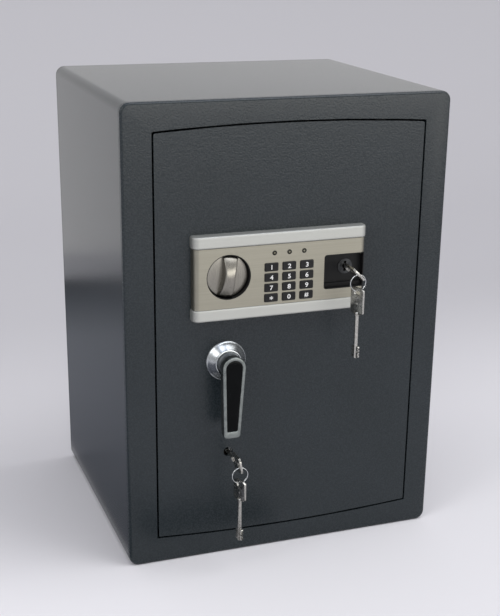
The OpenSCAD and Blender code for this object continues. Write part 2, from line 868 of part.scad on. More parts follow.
// sliding bar with a cross slot for the cam's pin, a stem below and a finger at its side
module release_bar() {
  z0 = bar_z - bar_body / 2;
  stem_z0 = knob_case_z0 - 2;
  color(steel) difference() {
    union() {
      block([knob_x - bar_w / 2, bar_y, z0], [knob_x + bar_w / 2, bar_y + bar_t, z0 + bar_body]);
      block([knob_x - block_w / 2, bar_y, stem_z0], [knob_x + block_w / 2, bar_y + bar_t, z0 + 1]);
      block([knob_x + bar_w / 2 - 1, bar_y, finger_z], [plunger_tip - 3, bar_y + bar_t, finger_z + finger_t]);
    }
    slot = small_pin + pin_slack;
    block([knob_x + cam_pin * cos(cam_half) - slot - 0.5, bar_y - 1, bar_z - slot],
      [knob_x + cam_pin + slot + 0.5, bar_y + bar_t + 1, bar_z + slot]);
  }
}

module main_lock_rotor() {
  a = rotor_half;
  color(brass) difference() {
    union() {
      rod_y(main_x, rotor_y, main_z, rotor_r, rotor_y1 - rotor_y);
      rod_y(main_x - rotor_pin * cos(a), latch_y - 0.2, main_z - rotor_pin * sin(a), small_pin,
        rotor_y - latch_y + 0.2);
    }
    key_hole(main_x, main_z, main_roll, rotor_y - 1, main_key_tip + 0.3 - rotor_y + 1);
  }
}

// room for a key's shank and bit, turned as the key is
module key_hole(x, z, roll, y, l) {
  rod_y(x, y, z, shank_r + key_room, l);
  translate([x, y, z]) rotate([0, roll, 0])
    translate([-bit_half - key_room, 0, -bit_t / 2 - key_room])
      cube([2 * bit_half + 2 * key_room, l, bit_t + 2 * key_room]);
}

// bolt lifted by the rotor's pin: its window lets the key through
module main_lock_bolt() {
  pin_x = main_x - rotor_pin;
  pin_z = main_z - lift / 2;
  slot = small_pin + pin_slack;
  color(steel) difference() {
    union() {
      block([main_x - latch_w / 2 - 2, latch_y, latch_z0],
        [main_x + latch_w / 2 - 2, latch_y + latch_t, latch_z1]);
      block([main_x - block_w / 2, latch_y, latch_z1 - 1],
        [main_x + block_w / 2, latch_y + latch_t, latch_top]);
    }
    block([pin_x - slot - 0.4, latch_y - 1, pin_z - slot], [main_x, latch_y + latch_t + 1, pin_z + slot]);
    block([main_x - shank_r - 0.6, latch_y - 1, main_z - lift - shank_r - 0.6],
      [main_x + shank_r + 0.6, latch_y + latch_t + 1, main_z + bit_half + 1]);
  }
}

module locking_bolts() {
  color(silver) for (z = bolt_zs) {
    rod_x(bolt_tip + 1, bolt_y, z, bolt_r, flange_x - bolt_tip - 1);
    rod_x(bolt_tip, bolt_y, z, bolt_r - 1, 1.5);
    rod_x(flange_x - 1, bolt_y, z, spigot_r, flange_t + 8);
    difference() {
      translate([flange_x + flange_t, bolt_y, z]) rotate([0, 90, 0]) cylinder(r = nut_r, h = nut_t, $fn = 6);
      rod_x(flange_x, bolt_y, z, spigot_r, 20);
    }
  }
}

// plate that joins the three bolts, with a flange, the crank's slot, guide slots and two tabs
module bolt_carriage() {
  pin_x = handle_x + crank_r * sin(half_throw);
  pin_z0 = handle_z + crank_r * cos(half_throw);
  room = crank_pin_r + 0.25;
  y1 = carriage_y + carriage_t;
  color(steel) difference() {
    union() {
      block([flange_x, carriage_y, carriage_z0], [carriage_x1, y1, carriage_z1]);
      block([flange_x, bolt_y - bolt_r, carriage_z0], [flange_x + flange_t, y1, carriage_z1]);
      carriage_tab(main_x, main_tab_z, latch_y - 1);
      carriage_tab(knob_x, knob_tab_z, bar_y - 2);
    }
    block([pin_x - room, carriage_y - 1, pin_z0 - room - 1],
      [pin_x + room, y1 + 1, handle_z + crank_r + room + 1]);
    for (z = stud_zs) block([stud_x - stud_r - slack, carriage_y - 1, z - stud_r - slack],
      [stud_x + stud_r + slack + travel, y1 + 1, z + stud_r + slack]);
    for (z = bolt_zs) rod_x(flange_x - 1, bolt_y, z, spigot_r, flange_t + 2);
  }
}

// a tab reaching forward from the carriage, just right of a blocker's place
module carriage_tab(x, z, y0) {
  x0 = x + block_w / 2 + tab_gap;
  block([x0, y0, z], [x0 + tab_w, carriage_y + 1, z + tab_h]);
}

// stepped cone round the handle's neck
module handle_rose() {
  color(chrome) translate([handle_x, front_y, handle_z]) rotate([90, 0, 0]) difference() {
    rotate_extrude() polygon([[0, 0], [rose_r, 0], [rose_r, 1.6], [rose_r - 0.8, 3],
      [rose_r - 7, 9.4], [rose_r - 7.6, 10.4], [rose_r - 9, 10.4], [rose_r - 9, 9], [0, 9]]);
    translate([0, 0, -1]) cylinder(r = spindle_r + slack, h = 20);
  }
}

// outline of the lever, drawn in by an inset: a round head on a tapering grip
module lever_outline(inset, foot) {
  r = lever_r - inset;
  half = tip_w / 2 - inset;
  end = lever_len - foot;
  tip_r = min(3.6, half - 0.5);
  polygon(concat(arc(0, 0, r, 0, 180), arc(tip_r - half, tip_r - end, tip_r, 180, 270),
    arc(half - tip_r, tip_r - end, tip_r, 270, 360)));
}

// points of an arc, ends included
function arc(x, z, r, a0, a1, n = 24) =
  [for (i = [0:n]) let (a = a0 + (a1 - a0) * i / n) [x + r * cos(a), z + r * sin(a)]];

module at_handle() {
  translate([handle_x, 0, handle_z]) rotate([0, lever_tilt, 0]) children();
}

module handle_lever() {
  color(silver) at_handle() {
    difference() {
      slab(lever_front, lever_t) lever_outline(0, 0);
      slab(lever_front - 1, inlay_deep + 1) lever_outline(lever_rim, lever_foot);
      rod_y(0, lever_back - 5, 0, spindle_r, 6);
    }
    difference() {
      rod_y(0, lever_back - 1, 0, neck_r, neck_y - lever_back + 1);
      rod_y(0, lever_back - 2, 0, spindle_r, neck_y - lever_back + 3);
    }
  }
}

module lever_inlay() {
  color(black) at_handle() slab(lever_front + 0.4, inlay_deep - 0.4)
    lever_outline(lever_rim + inlay_gap, lever_foot + inlay_gap);
}

// spindle with the crank arm on its inner end
module handle_spindle() {
  a = half_throw;
  color(steel) {
    rod_y(handle_x, lever_back - 5, handle_z, spindle_r, crank_y + crank_t - lever_back + 5);
    translate([handle_x, crank_y, handle_z]) {
      rod_y(0, 0, 0, 10, crank_t);
      rotate([0, a, 0]) {
        translate([-6, 0, 0]) cube([12, crank_t, crank_r]);
        rod_y(0, 0, crank_r, 6, crank_t);
        rod_y(0, 0, crank_r, crank_pin_r, carriage_y + carriage_t + 1 - crank_y);
      }
    }
  }
}

// fixed body of the override lock: a faced barrel through the leaf with an upright keyway
module override_cylinder() {
  y1 = leaf_back + 14;
  color("#55575a") difference() {
    union() {
      rod_y(override_x, override_face, override_z, override_r, y1 - override_face);
      rod_y(override_x, leaf_back, override_z, override_r + 4, y1 - leaf_back);
    }
    rod_y(override_x, override_rotor_y, override_z, override_bore + run, 60);
    rod_y(override_x, override_face - 1, override_z, shank_r + 0.8, 20);
    block([override_x - 1.5, override_face - 1, override_z - bit_half - 0.6],
      [override_x + 1.5, override_rotor_y + 1, override_z + bit_half + 0.6]);
  }
}

module override_rotor() {
  y1 = override_rotor_y1;
  color(brass) difference() {
    union() {
      rod_y(override_x, override_rotor_y + 0.2, override_z, override_bore, y1 - override_rotor_y - 0.2);
      block([override_x - 4, y1 - 3, override_z - 20], [override_x + 4, y1, override_z]);
    }
    key_hole(override_x, override_z, override_roll, override_rotor_y - 1,
      override_key_tip + 0.3 - override_rotor_y + 1);
  }
}

// a key of length l along Y: its bow's end at y = 0, its tip at y = l, flat in X and Y
module key_blank(l, bow) {
  shank_y = bow - 1;
  bit_y = l - bit_l - 1;
  difference() {
    translate([0, 0, -bow_t / 2]) linear_extrude(bow_t) difference() {
      intersection() {
        translate([-bow_w / 2, 0]) square([bow_w, bow]);
        translate([0, bow / 2]) circle(bow / 2 + 1.2);
      }
      translate([0, slot_in]) rounded(slot_w, slot_h, slot_h / 2 - 0.1);
    }
    for (s = [-1, 1]) translate([0, bow * 0.62, s * (bow_t / 2 + 0.1)])
      cylinder(r = 3.2, h = 0.8, center = true);
  }
  rod_y(0, shank_y, 0, shank_r, l - shank_y);
  rod_y(0, shank_y - 1, 0, shank_r + 0.8, 3.4);
  difference() {
    translate([-bit_half, bit_y, -bit_t / 2]) cube([2 * bit_half, bit_l, bit_t]);
    for (s = [-1, 1], k = [0:2]) translate([s * bit_half, bit_y + 2.6 + 3.2 * k, 0])
      cube([1.6 + 1.2 * ((k + (s > 0 ? 1 : 0)) % 2), 1.5, 4], center = true);
  }
}

// the middle of the slot in an inserted key's bow, moved along the slot to where the wire passes
function ring_place(x, z, roll, shift, bow_end) =
  [x + shift * cos(roll), bow_end + slot_in, z - shift * sin(roll) - ring_r];

main_ring_place = ring_place(main_x, main_z, main_roll, main_shift, main_key_tip - key_l);
override_ring_place =
  ring_place(override_x, override_z, override_roll, override_shift, override_key_tip - long_key_l);

module ring(place) {
  translate(place) rotate([90, 0, 0]) rotate_extrude() translate([ring_r, 0]) circle(wire_r, $fn = 16);
}

// a second key hangs from the foot of the ring, its bow across the wire
module spare_key(place, l, bow) {
  hang = slot_h / 2 - wire_r - key_room;
  translate([place[0], place[1], place[2] - ring_r - hang + slot_in])
    rotate([0, 0, spare_turn]) rotate([0, 90, 0]) rotate([0, 0, -90]) key_blank(l, bow);
}

module main_key() {
  color(silver) translate([main_x, main_key_tip - key_l, main_z]) rotate([0, main_roll, 0])
    key_blank(key_l, bow_l);
}

module main_ring() {
  color(silver) ring(main_ring_place);
}

module main_spare_key() {
  color(silver) spare_key(main_ring_place, key_l, bow_l);
}

module override_key() {
  color(silver) translate([override_x, override_key_tip - long_key_l, override_z])
    rotate([0, override_roll, 0]) key_blank(long_key_l, long_bow_l);
}

module override_ring() {
  color(silver) ring(override_ring_place);
}

module override_spare_key() {
  color(silver) spare_key(override_ring_place, long_key_l, long_bow_l);
}

cabinet_wrap();
back_plate();
front_frame();
door_stop();
bolt_keeper();
hinge_brackets();
shelf_brackets();
shelf();
carpet_mat();
door_plate();
door_tray();
hinge_pins();
inner_cover();
cover_screws();
guide_studs();
lock_cases();
solenoid();
battery_box();
batteries();
panel_base();
panel_fascia();
trim_bars();
knob_well();
lock_recess();
circuit_board();
keypad_mat();
indicator_lights();
override_cylinder();
handle_rose();
handle_lever();
lever_inlay();
handle_spindle();
bolt_carriage();
locking_bolts();
knob();
knob_cam();
release_bar();
solenoid_plunger();
main_key();
main_lock_rotor();
main_lock_bolt();
main_ring();
main_spare_key();
override_key();
override_rotor();
override_ring();
override_spare_key();
battery_cover();
key_button(0, 0);  // key_1
key_button(1, 0);  // key_2
key_button(2, 0);  // key_3
key_button(0, 1);  // key_4
key_button(1, 1);  // key_5
key_button(2, 1);  // key_6
key_button(0, 2);  // key_7
key_button(1, 2);  // key_8
key_button(2, 2);  // key_9
key_button(0, 3);  // key_star
key_button(1, 3);  // key_0
key_button(2, 3);  // key_hash
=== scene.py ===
# Electronic safe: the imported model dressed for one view, in metres, in the model's own frame.
# The door faces -Y, +Z is up and the origin is the centre of the cabinet's underside.
import math

import bmesh
import bpy
from mathutils import Matrix, Vector, noise


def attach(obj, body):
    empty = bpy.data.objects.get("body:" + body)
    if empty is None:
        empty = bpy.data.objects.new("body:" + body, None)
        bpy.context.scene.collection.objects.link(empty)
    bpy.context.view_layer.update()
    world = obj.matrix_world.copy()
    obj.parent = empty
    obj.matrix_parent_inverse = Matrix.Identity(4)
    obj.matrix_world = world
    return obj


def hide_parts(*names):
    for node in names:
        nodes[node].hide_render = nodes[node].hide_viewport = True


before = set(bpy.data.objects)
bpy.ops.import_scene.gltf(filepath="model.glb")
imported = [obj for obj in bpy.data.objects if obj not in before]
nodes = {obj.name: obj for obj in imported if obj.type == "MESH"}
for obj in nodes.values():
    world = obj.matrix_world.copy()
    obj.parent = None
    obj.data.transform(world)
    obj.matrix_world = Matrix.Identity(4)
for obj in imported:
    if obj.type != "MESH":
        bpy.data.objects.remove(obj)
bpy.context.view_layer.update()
mm = 0.001
print("stage: frame loaded,", len(nodes), "nodes")


# colour from an sRGB hex code to linear values
def toLinear(hexCode):
    parts = [int(hexCode[i:i + 2], 16) / 255 for i in (1, 3, 5)]
    return [c / 12.92 if c <= 0.04045 else ((c + 0.055) / 1.055) ** 2.4 for c in parts] + [1]


# one shader node with its constants and its incoming links
def addNode(tree, kind, values=None, links=None, **props):
    node = tree.nodes.new(kind)
    for name, value in props.items():
        setattr(node, name, value)
    for key, value in (values or {}).items():
        node.inputs[key].default_value = value
    for key, socket in (links or {}).items():
        tree.links.new(socket, node.inputs[key])
    return node


# an empty material with its surface shader, and the object's own coordinates in millimetres
def newMaterial(name, values):
    material = bpy.data.materials.new(name)
    material.use_nodes = True
    tree = material.node_tree
    tree.nodes.clear()
    output = addNode(tree, "ShaderNodeOutputMaterial")
    surface = addNode(tree, "ShaderNodeBsdfPrincipled", values)
    tree.links.new(surface.outputs[0], output.inputs["Surface"])
    place = addNode(tree, "ShaderNodeTexCoord")
    inMm = addNode(tree, "ShaderNodeVectorMath", {1: (1000, 1000, 1000)}, {0: place.outputs["Object"]},
                   operation="MULTIPLY")
    return material, tree, surface, inMm.outputs[0]


# noise whose grains are that many millimetres across, stretched where the sizes differ
def noiseMm(tree, place, sizes, detail=2.0, roughness=0.5):
    scaled = addNode(tree, "ShaderNodeVectorMath", {1: [1 / s for s in sizes]}, {0: place},
                     operation="MULTIPLY")
    grains = addNode(tree, "ShaderNodeTexNoise", {"Scale": 1.0, "Detail": detail, "Roughness": roughness},
                     {"Vector": scaled.outputs[0]})
    return grains.outputs["Fac"]


# a value's range mapped to another; noise mostly lies between 0.3 and 0.7
def mapRange(tree, value, low, high, fromLow=0.3, fromHigh=0.7):
    node = addNode(tree, "ShaderNodeMapRange", {1: fromLow, 2: fromHigh, 3: low, 4: high}, {0: value})
    return node.outputs[0]


def mixColours(tree, factor, first, second):
    node = addNode(tree, "ShaderNodeMix", {6: toLinear(first), 7: toLinear(second)}, {0: factor},
                   data_type="RGBA")
    return node.outputs[2]


# relief of that depth in millimetres, on top of another where one is given
def bump(tree, surface, height, depthMm, after=None):
    links = {"Height": height}
    if after is not None:
        links["Normal"] = after
    node = addNode(tree, "ShaderNodeBump", {"Strength": 1.0, "Distance": depthMm * mm}, links)
    tree.links.new(node.outputs[0], surface.inputs["Normal"])
    return node.outputs[0]


# textured powder coat: grains 1.7 mm across with 0.35 mm pimples on them, a soft sheen
def paintMaterial(name, light, dark, depth, roughness):
    material, tree, surface, place = newMaterial(name, {"Roughness": 0.27, "Specular IOR Level": 0.33})
    grain = noiseMm(tree, place, (1.7, 1.7, 1.7), 1)
    tone = noiseMm(tree, place, (90, 90, 90), 2)
    both = addNode(tree, "ShaderNodeMath", {}, {
        0: mapRange(tree, grain, 0, 0.6), 1: mapRange(tree, tone, 0, 0.4)})
    tree.links.new(mixColours(tree, both.outputs[0], dark, light), surface.inputs["Base Color"])
    tree.links.new(mapRange(tree, grain, *roughness), surface.inputs["Roughness"])
    first = bump(tree, surface, grain, depth)
    bump(tree, surface, noiseMm(tree, place, (0.35, 0.35, 0.35), 1), depth * 0.15, after=first)
    return material


# metal with fine brushing: streaks 0.12 mm wide and some 40 mm long, along the first axis
def brushedMaterial(name, light, dark, roughness, streak=(40, 0.6, 0.12), depth=0.006):
    material, tree, surface, place = newMaterial(name, {"Metallic": 1.0, "Roughness": roughness})
    lines = noiseMm(tree, place, streak, 4, 0.6)
    tone = noiseMm(tree, place, [s * 12 for s in streak], 2)
    both = addNode(tree, "ShaderNodeMath", {}, {
        0: mapRange(tree, lines, 0, 0.65), 1: mapRange(tree, tone, 0, 0.35)})
    tree.links.new(mixColours(tree, both.outputs[0], dark, light), surface.inputs["Base Color"])
    tree.links.new(mapRange(tree, lines, roughness - 0.06, roughness + 0.08), surface.inputs["Roughness"])
    bump(tree, surface, lines, depth)
    return material


# plated or machined metal: smears some millimetres across in its tone and gloss, a grain of 0.3 mm
def metalMaterial(name, light, dark, roughness, grainMm=6, depth=0.002):
    material, tree, surface, place = newMaterial(name, {"Metallic": 1.0, "Roughness": roughness})
    smear = noiseMm(tree, place, (grainMm, grainMm, grainMm), 3)
    tree.links.new(mixColours(tree, mapRange(tree, smear, 0, 1), dark, light), surface.inputs["Base Color"])
    tree.links.new(mapRange(tree, smear, roughness * 0.8, roughness * 1.25), surface.inputs["Roughness"])
    bump(tree, surface, noiseMm(tree, place, (0.3, 0.3, 0.3), 2), depth)
    return material


# moulded plastic, print or felt: a grain of that size, with slight shifts of tone and gloss 14 mm across
def plasticMaterial(name, light, dark, roughness, grainMm=0.25, depth=0.008, gloss=0.45):
    material, tree, surface, place = newMaterial(name, {"Roughness": roughness, "Specular IOR Level": gloss})
    grain = noiseMm(tree, place, (grainMm, grainMm, grainMm), 2)
    tone = noiseMm(tree, place, (14, 14, 14), 2)
    tree.links.new(mixColours(tree, mapRange(tree, tone, 0, 1), dark, light), surface.inputs["Base Color"])
    tree.links.new(mapRange(tree, tone, roughness * 0.85, roughness * 1.2), surface.inputs["Roughness"])
    bump(tree, surface, grain, depth)
    return material


graphite = paintMaterial("graphite_powder_coat", "#293034", "#21282b", 0.19, (0.22, 0.32))
smoothGraphite = paintMaterial("graphite_powder_coat_body", "#2a3034", "#23292c", 0.014, (0.19, 0.22))
nickel = brushedMaterial("brushed_nickel", "#9a978b", "#8c897d", 0.42)
aluminium = brushedMaterial("satin_aluminium", "#b8b9b5", "#b1b2ae", 0.6)
chrome = metalMaterial("polished_chrome", "#b2b6b8", "#a4a8aa", 0.22, 14, 0.0004)
satinChrome = metalMaterial("satin_chrome", "#888d8b", "#747977", 0.34, 6, 0.0006)
keyNickel = metalMaterial("nickel_plated_brass", "#bdbcb7", "#a09e98", 0.24, 3, 0.0005)
zinc = metalMaterial("zinc_plated_steel", "#b4b6b4", "#8d9092", 0.36, 9, 0.004)
blackPlastic = plasticMaterial("black_plastic", "#171718", "#101011", 0.5, 0.25, 0.008, 0.2)
blackGloss = plasticMaterial("gloss_black", "#060809", "#040506", 0.22, 0.6, 0.001, 0.08)
rubber = plasticMaterial("grey_rubber", "#4c4c4c", "#3e3e3e", 0.7, 0.4, 0.01)
solderMask = plasticMaterial("solder_mask", "#24734a", "#1b5a39", 0.3, 1.2, 0.01)
smokeLens = plasticMaterial("smoked_lens", "#26251f", "#1c1b17", 0.45, 2, 0.001, 0.2)
winding = brushedMaterial("enamelled_winding", "#8c3a28", "#5e2519", 0.3, (0.35, 30, 30), 0.05)
cellWrap = metalMaterial("cell_wrap", "#c8a55e", "#a8843f", 0.3, 5)
carpetFelt = plasticMaterial("needled_felt", "#34353a", "#232427", 0.95, 0.7, 0.25)
carpetFibre = plasticMaterial("felt_fibre", "#4a4b50", "#2c2d31", 0.95, 3.0, 0.01)
neckSteel = metalMaterial("satin_neck", "#8c9092", "#7e8284", 0.38, 12, 0.0006)
knobNickel = brushedMaterial("brushed_knob_nickel", "#928f87", "#7f7c75", 0.3, (0.6, 0.6, 30), 0.003)
keyBlack = plasticMaterial("key_black", "#161617", "#101011", 0.34, 0.5, 0.004, 0.25)
printWhite = plasticMaterial("white_print", "#f2f2f0", "#e6e6e4", 0.5, 0.4, 0.001)
lightCore = plasticMaterial("light_core", "#8a8778", "#76735f", 0.5, 2, 0.001, 0.2)
lockDark = metalMaterial("blackened_rotor", "#2c2a28", "#1b1a19", 0.45, 4)
ringSteel = metalMaterial("ring_steel", "#dcdedf", "#c4c7c9", 0.12, 4)
lockSteel = metalMaterial("lock_face_steel", "#4a4b4c", "#323334", 0.42, 4)
print("stage: materials made")


# a mesh piece at the origin, its points in millimetres
def newPiece(name, points, faces, material, body, replaced=(), smoothAngle=35):
    mesh = bpy.data.meshes.new(name)
    mesh.from_pydata([[c * mm for c in p] for p in points], [], faces)
    return finishPiece(name, mesh, material, body, replaced, smoothAngle)


# makes a mesh into a piece that rides on a body and stands for the named nodes
def finishPiece(name, mesh, material, body, replaced=(), smoothAngle=35):
    shell = bmesh.new()
    shell.from_mesh(mesh)
    bmesh.ops.remove_doubles(shell, verts=shell.verts, dist=1e-7)
    bmesh.ops.recalc_face_normals(shell, faces=shell.faces)
    shell.to_mesh(mesh)
    shell.free()
    mesh.polygons.foreach_set("use_smooth", [True] * len(mesh.polygons))
    mesh.set_sharp_from_angle(angle=math.radians(smoothAngle))
    return placePiece(name, mesh, material, body, replaced)


def placePiece(name, mesh, material, body, replaced):
    mesh.materials.clear()
    mesh.materials.append(material)
    piece = bpy.data.objects.new(name, mesh)
    bpy.context.scene.collection.objects.link(piece)
    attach(piece, body)
    if replaced:
        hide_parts(*replaced)
    return piece


# points and faces through loops of equally many points, open with end caps, or closed on itself
def loft(loops, closed=False):
    count = len(loops[0])
    points = [p for loop in loops for p in loop]
    faces = []
    for i in range(len(loops) if closed else len(loops) - 1):
        a, b = i * count, (i + 1) % len(loops) * count
        faces += [(a + j, a + (j + 1) % count, b + (j + 1) % count, b + j) for j in range(count)]
    if not closed:
        faces += [tuple(range(count)), tuple(range((len(loops) - 1) * count, len(loops) * count))]
    return points, faces


# several lofts joined in one list of points and faces
def joined(*parts):
    points, faces = [], []
    for somePoints, someFaces in parts:
        faces += [tuple(i + len(points) for i in face) for face in someFaces]
        points += somePoints
    return points, faces


def arcPoints(x, z, r, start, end, steps=8):
    angles = [math.radians(start + (end - start) * i / steps) for i in range(steps + 1)]
    return [(x + r * math.cos(a), z + r * math.sin(a)) for a in angles]


# a rectangle with four round corners, drawn in by an inset
def roundedOutline(w, h, r, inset=0.0, steps=6):
    r = max(r - inset, 0.05)
    x, z = w / 2 - inset - r, h / 2 - inset - r
    return [p for sx, sz, a in ((1, 1, 0), (-1, 1, 90), (-1, -1, 180), (1, -1, 270))
            for p in arcPoints(sx * x, sz * z, r, a, a + 90, steps)]


# a circle's points
def circleOutline(r, steps=64):
    return [(r * math.cos(math.tau * i / steps), r * math.sin(math.tau * i / steps)) for i in range(steps)]


# a quarter-round fillet as (inset, depth) pairs, from the side of a piece onto its face
def fillet(r, face, towards=1, steps=4):
    turns = [math.pi / 2 * i / steps for i in range(steps + 1)]
    return [(r * (1 - math.cos(t)), face + towards * r * (1 - math.sin(t))) for t in turns]


# a body turned about an axis along Y: (radius, y) pairs round the point x, z
def lathe(x, z, profile, steps=64):
    return loft([[(x + u, y, z + v) for u, v in circleOutline(r, steps)] for r, y in profile])


# handle: a round head on a tapering grip with a raised rim; depths are frame levels along Y
leverSize = {"x": -69.0, "z": 223.0, "tilt": 1.5, "head": 12.4, "tip": 18.2, "tipRound": 3.6,
             "length": 76.3, "back": -170.2, "front": -178.9, "edge": 1.2, "rim": 1.9, "rimFall": 1.2,
             "foot": 3.8, "deep": 1.9}


def leverOutline(inset, foot=0.0):
    s = leverSize
    half, r = s["tip"] / 2 - inset, max(s["tipRound"] - inset, 1.2)
    end = s["length"] - foot - inset
    return (arcPoints(0, 0, s["head"] - inset, 0, 180, 40) + arcPoints(r - half, r - end, r, 180, 270)
            + arcPoints(half - r, r - end, r, 270, 360))


def atHandle(points):
    turn = Matrix.Rotation(math.radians(leverSize["tilt"]), 3, "Y")
    axis = Vector((leverSize["x"], 0, leverSize["z"]))
    return [tuple(turn @ Vector(p) + axis) for p in points]


def leverLoop(inset, y, foot=0.0):
    return atHandle([(x, y, z) for x, z in leverOutline(inset, foot)])


def makeLever():
    s = leverSize
    levels = [(0.6, s["back"]), (0.0, s["back"] - 0.6)] + fillet(s["edge"], s["front"])
    flat, fall = s["edge"] + s["rim"], s["rimFall"]
    levels += [(flat, s["front"]), (flat + 0.15, s["front"] + 0.06), (flat + fall, s["front"] + s["deep"])]
    loops = [leverLoop(inset, y, s["foot"] if inset > s["edge"] + 0.1 else 0.0) for inset, y in levels]
    newPiece("lever_frame", *loft(loops), satinChrome, "handle", ["handle_lever"])
    inlay = [(flat + fall - 0.2, s["front"] + s["deep"]), (flat + 0.5, s["front"] + 0.75),
             (flat + 0.9, s["front"] + 0.5), (flat + 3.0, s["front"] + 0.32)]
    loops = [leverLoop(inset, y, s["foot"]) for inset, y in inlay]
    newPiece("lever_inlay_gloss", *loft(loops), blackGloss, "handle", ["lever_inlay"])


# turned parts of the handle, as (radius, level along Y)
roseProfile = [(21.5, -150.0), (21.5, -151.3), (21.2, -151.9), (20.6, -152.3), (19.6, -153.6), (17.4, -156.2),
               (15.2, -158.6), (14.5, -159.5), (14.0, -160.2), (13.2, -160.4), (12.6, -160.2), (12.4, -159.4),
               (6.4, -159.2)]
neckProfile = [(11.8, -159.35), (11.8, -160.5), (11.5, -161.2), (10.6, -162.6), (10.0, -164.4), (9.8, -168.6),
               (9.9, -170.4)]


def makeHandle():
    s = leverSize
    makeLever()
    newPiece("rose_cone", *lathe(s["x"], s["z"], roseProfile, 96), chrome, "door", ["handle_rose"], 25)
    newPiece("lever_neck", *lathe(s["x"], s["z"], neckProfile, 64), neckSteel, "handle")


makeHandle()
print("stage: handle made")


# knob: a disc with a ridge across it, concave at its sides and falling to both ends
knobSize = {"x": -69.8, "z": 315.1, "face": -156.0, "radius": 22.0, "thick": 2.7, "edge": 0.7,
            "half": 21.4, "rise": 11.0, "endDrop": 9.0, "waist": 5.6, "waistRadius": 80.0, "shoulder": 2.0,
            "stations": 56, "lean": 7.5}


def ridgeSection(z):
    s = knobSize
    wide = min(s["waist"] + s["waistRadius"] - math.sqrt(s["waistRadius"] ** 2 - z * z),
               math.sqrt(max(s["half"] ** 2 - z * z, 0.3)))
    crownRadius = (s["half"] ** 2 + s["endDrop"] ** 2) / (2 * s["endDrop"])
    top = s["rise"] - crownRadius + math.sqrt(crownRadius ** 2 - z * z)
    r = min(s["shoulder"], wide * 0.6, top * 0.6)
    points = [(-wide, -0.5), (-wide, 0.2)]
    points += [(-wide + r * (1 - math.cos(a)), top - r + r * math.sin(a)) for a in
               (math.pi / 2 * i / 6 for i in range(7))]
    points += [(x, top + 0.35 * (1 - (x / (wide - r)) ** 2)) for x in
               ((wide - r) * k for k in (-0.66, -0.33, 0, 0.33, 0.66))]
    points += [(wide - r * (1 - math.cos(a)), top - r + r * math.sin(a)) for a in
               (math.pi / 2 * (6 - i) / 6 for i in range(7))]
    points += [(wide, 0.2), (wide, -0.5)]
    # the ridge leans a little clockwise, as it stands in the photograph
    lean = math.radians(s["lean"])
    return [(s["x"] + x * math.cos(lean) + z * math.sin(lean), s["face"] - rise,
             s["z"] - x * math.sin(lean) + z * math.cos(lean)) for x, rise in points]


def makeKnob():
    s = knobSize
    disc = lathe(s["x"], s["z"], [(s["radius"], s["face"] + s["thick"])] + [
        (s["radius"] - inset, y) for inset, y in fillet(s["edge"], s["face"])] + [(2.0, s["face"])], 96)
    turns = [math.pi * i / s["stations"] for i in range(s["stations"] + 1)]
    ridge = loft([ridgeSection(-s["half"] * math.cos(t)) for t in turns])
    newPiece("knob_turn_grip", *joined(disc, ridge), knobNickel, "knob", ["knob"], 30)


makeKnob()
print("stage: knob made")


# trim bars: flat fronts with rounded edges, their ends bent back to the door
barSize = {"x": -13.2, "door": -150.0, "width": 188.0, "depth": 12.0, "high": 12.5, "bend": 7.0,
           "edge": 1.8, "levels": (270.0, 345.5)}


def barPlan(z, inset):
    s = barSize
    half, r = s["width"] / 2, s["bend"] - inset
    middle = half - s["bend"]
    front = s["door"] - s["depth"] + s["bend"]
    plan = ([(-half + inset, s["door"])] + arcPoints(-middle, front, r, 180, 270, 12)
            + [(-middle + 0.5, front - r), (middle - 0.5, front - r)]
            + arcPoints(middle, front, r, 270, 360, 12) + [(half - inset, s["door"])])
    return [(s["x"] + x, y, z) for x, y in plan]


def makeBars():
    s = barSize
    for name, z in zip(("trim_bar_lower", "trim_bar_upper"), s["levels"]):
        turns = [math.pi / 2 * i / 5 for i in range(6)]
        low = [(z + s["edge"] * (1 - math.sin(t)), s["edge"] * (1 - math.cos(t))) for t in reversed(turns)]
        high = [(z + s["high"] - s["edge"] * (1 - math.sin(t)), s["edge"] * (1 - math.cos(t))) for t in turns]
        # one more loop beside each rounding keeps the flat between them flat
        low, high = low + [(z + s["edge"] + 0.4, 0.0)], [(z + s["high"] - s["edge"] - 0.4, 0.0)] + high
        bar = newPiece(name, *loft([barPlan(*pair) for pair in low + high]), aluminium, "door")
        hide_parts("trim_bars")


makeBars()
print("stage: trim bars made")


# keypad: soft caps, their faces slightly dished, and white digits printed on them
padSize = {"x": -5.1, "z": 305.9, "pitchX": 19.3, "pitchZ": 10.8, "width": 14.7, "high": 8.6, "round": 1.4,
           "back": -156.7, "front": -162.6, "edge": 0.7, "dish": 0.1, "digit": 6.6, "stretch": 1.12,
           "stroke": 0.13, "star": 1.25, "starStroke": 0.1, "ink": 0.02}
keyNames = [["key_1", "key_2", "key_3"], ["key_4", "key_5", "key_6"], ["key_7", "key_8", "key_9"],
            ["key_star", "key_0", "key_hash"]]
legends = {"key_star": "*", "key_0": "0", "key_hash": "#"}


def capLoop(x, z, y, inset):
    s = padSize
    return [(x + u, y, z + v) for u, v in roundedOutline(s["width"], s["high"], s["round"], inset)]


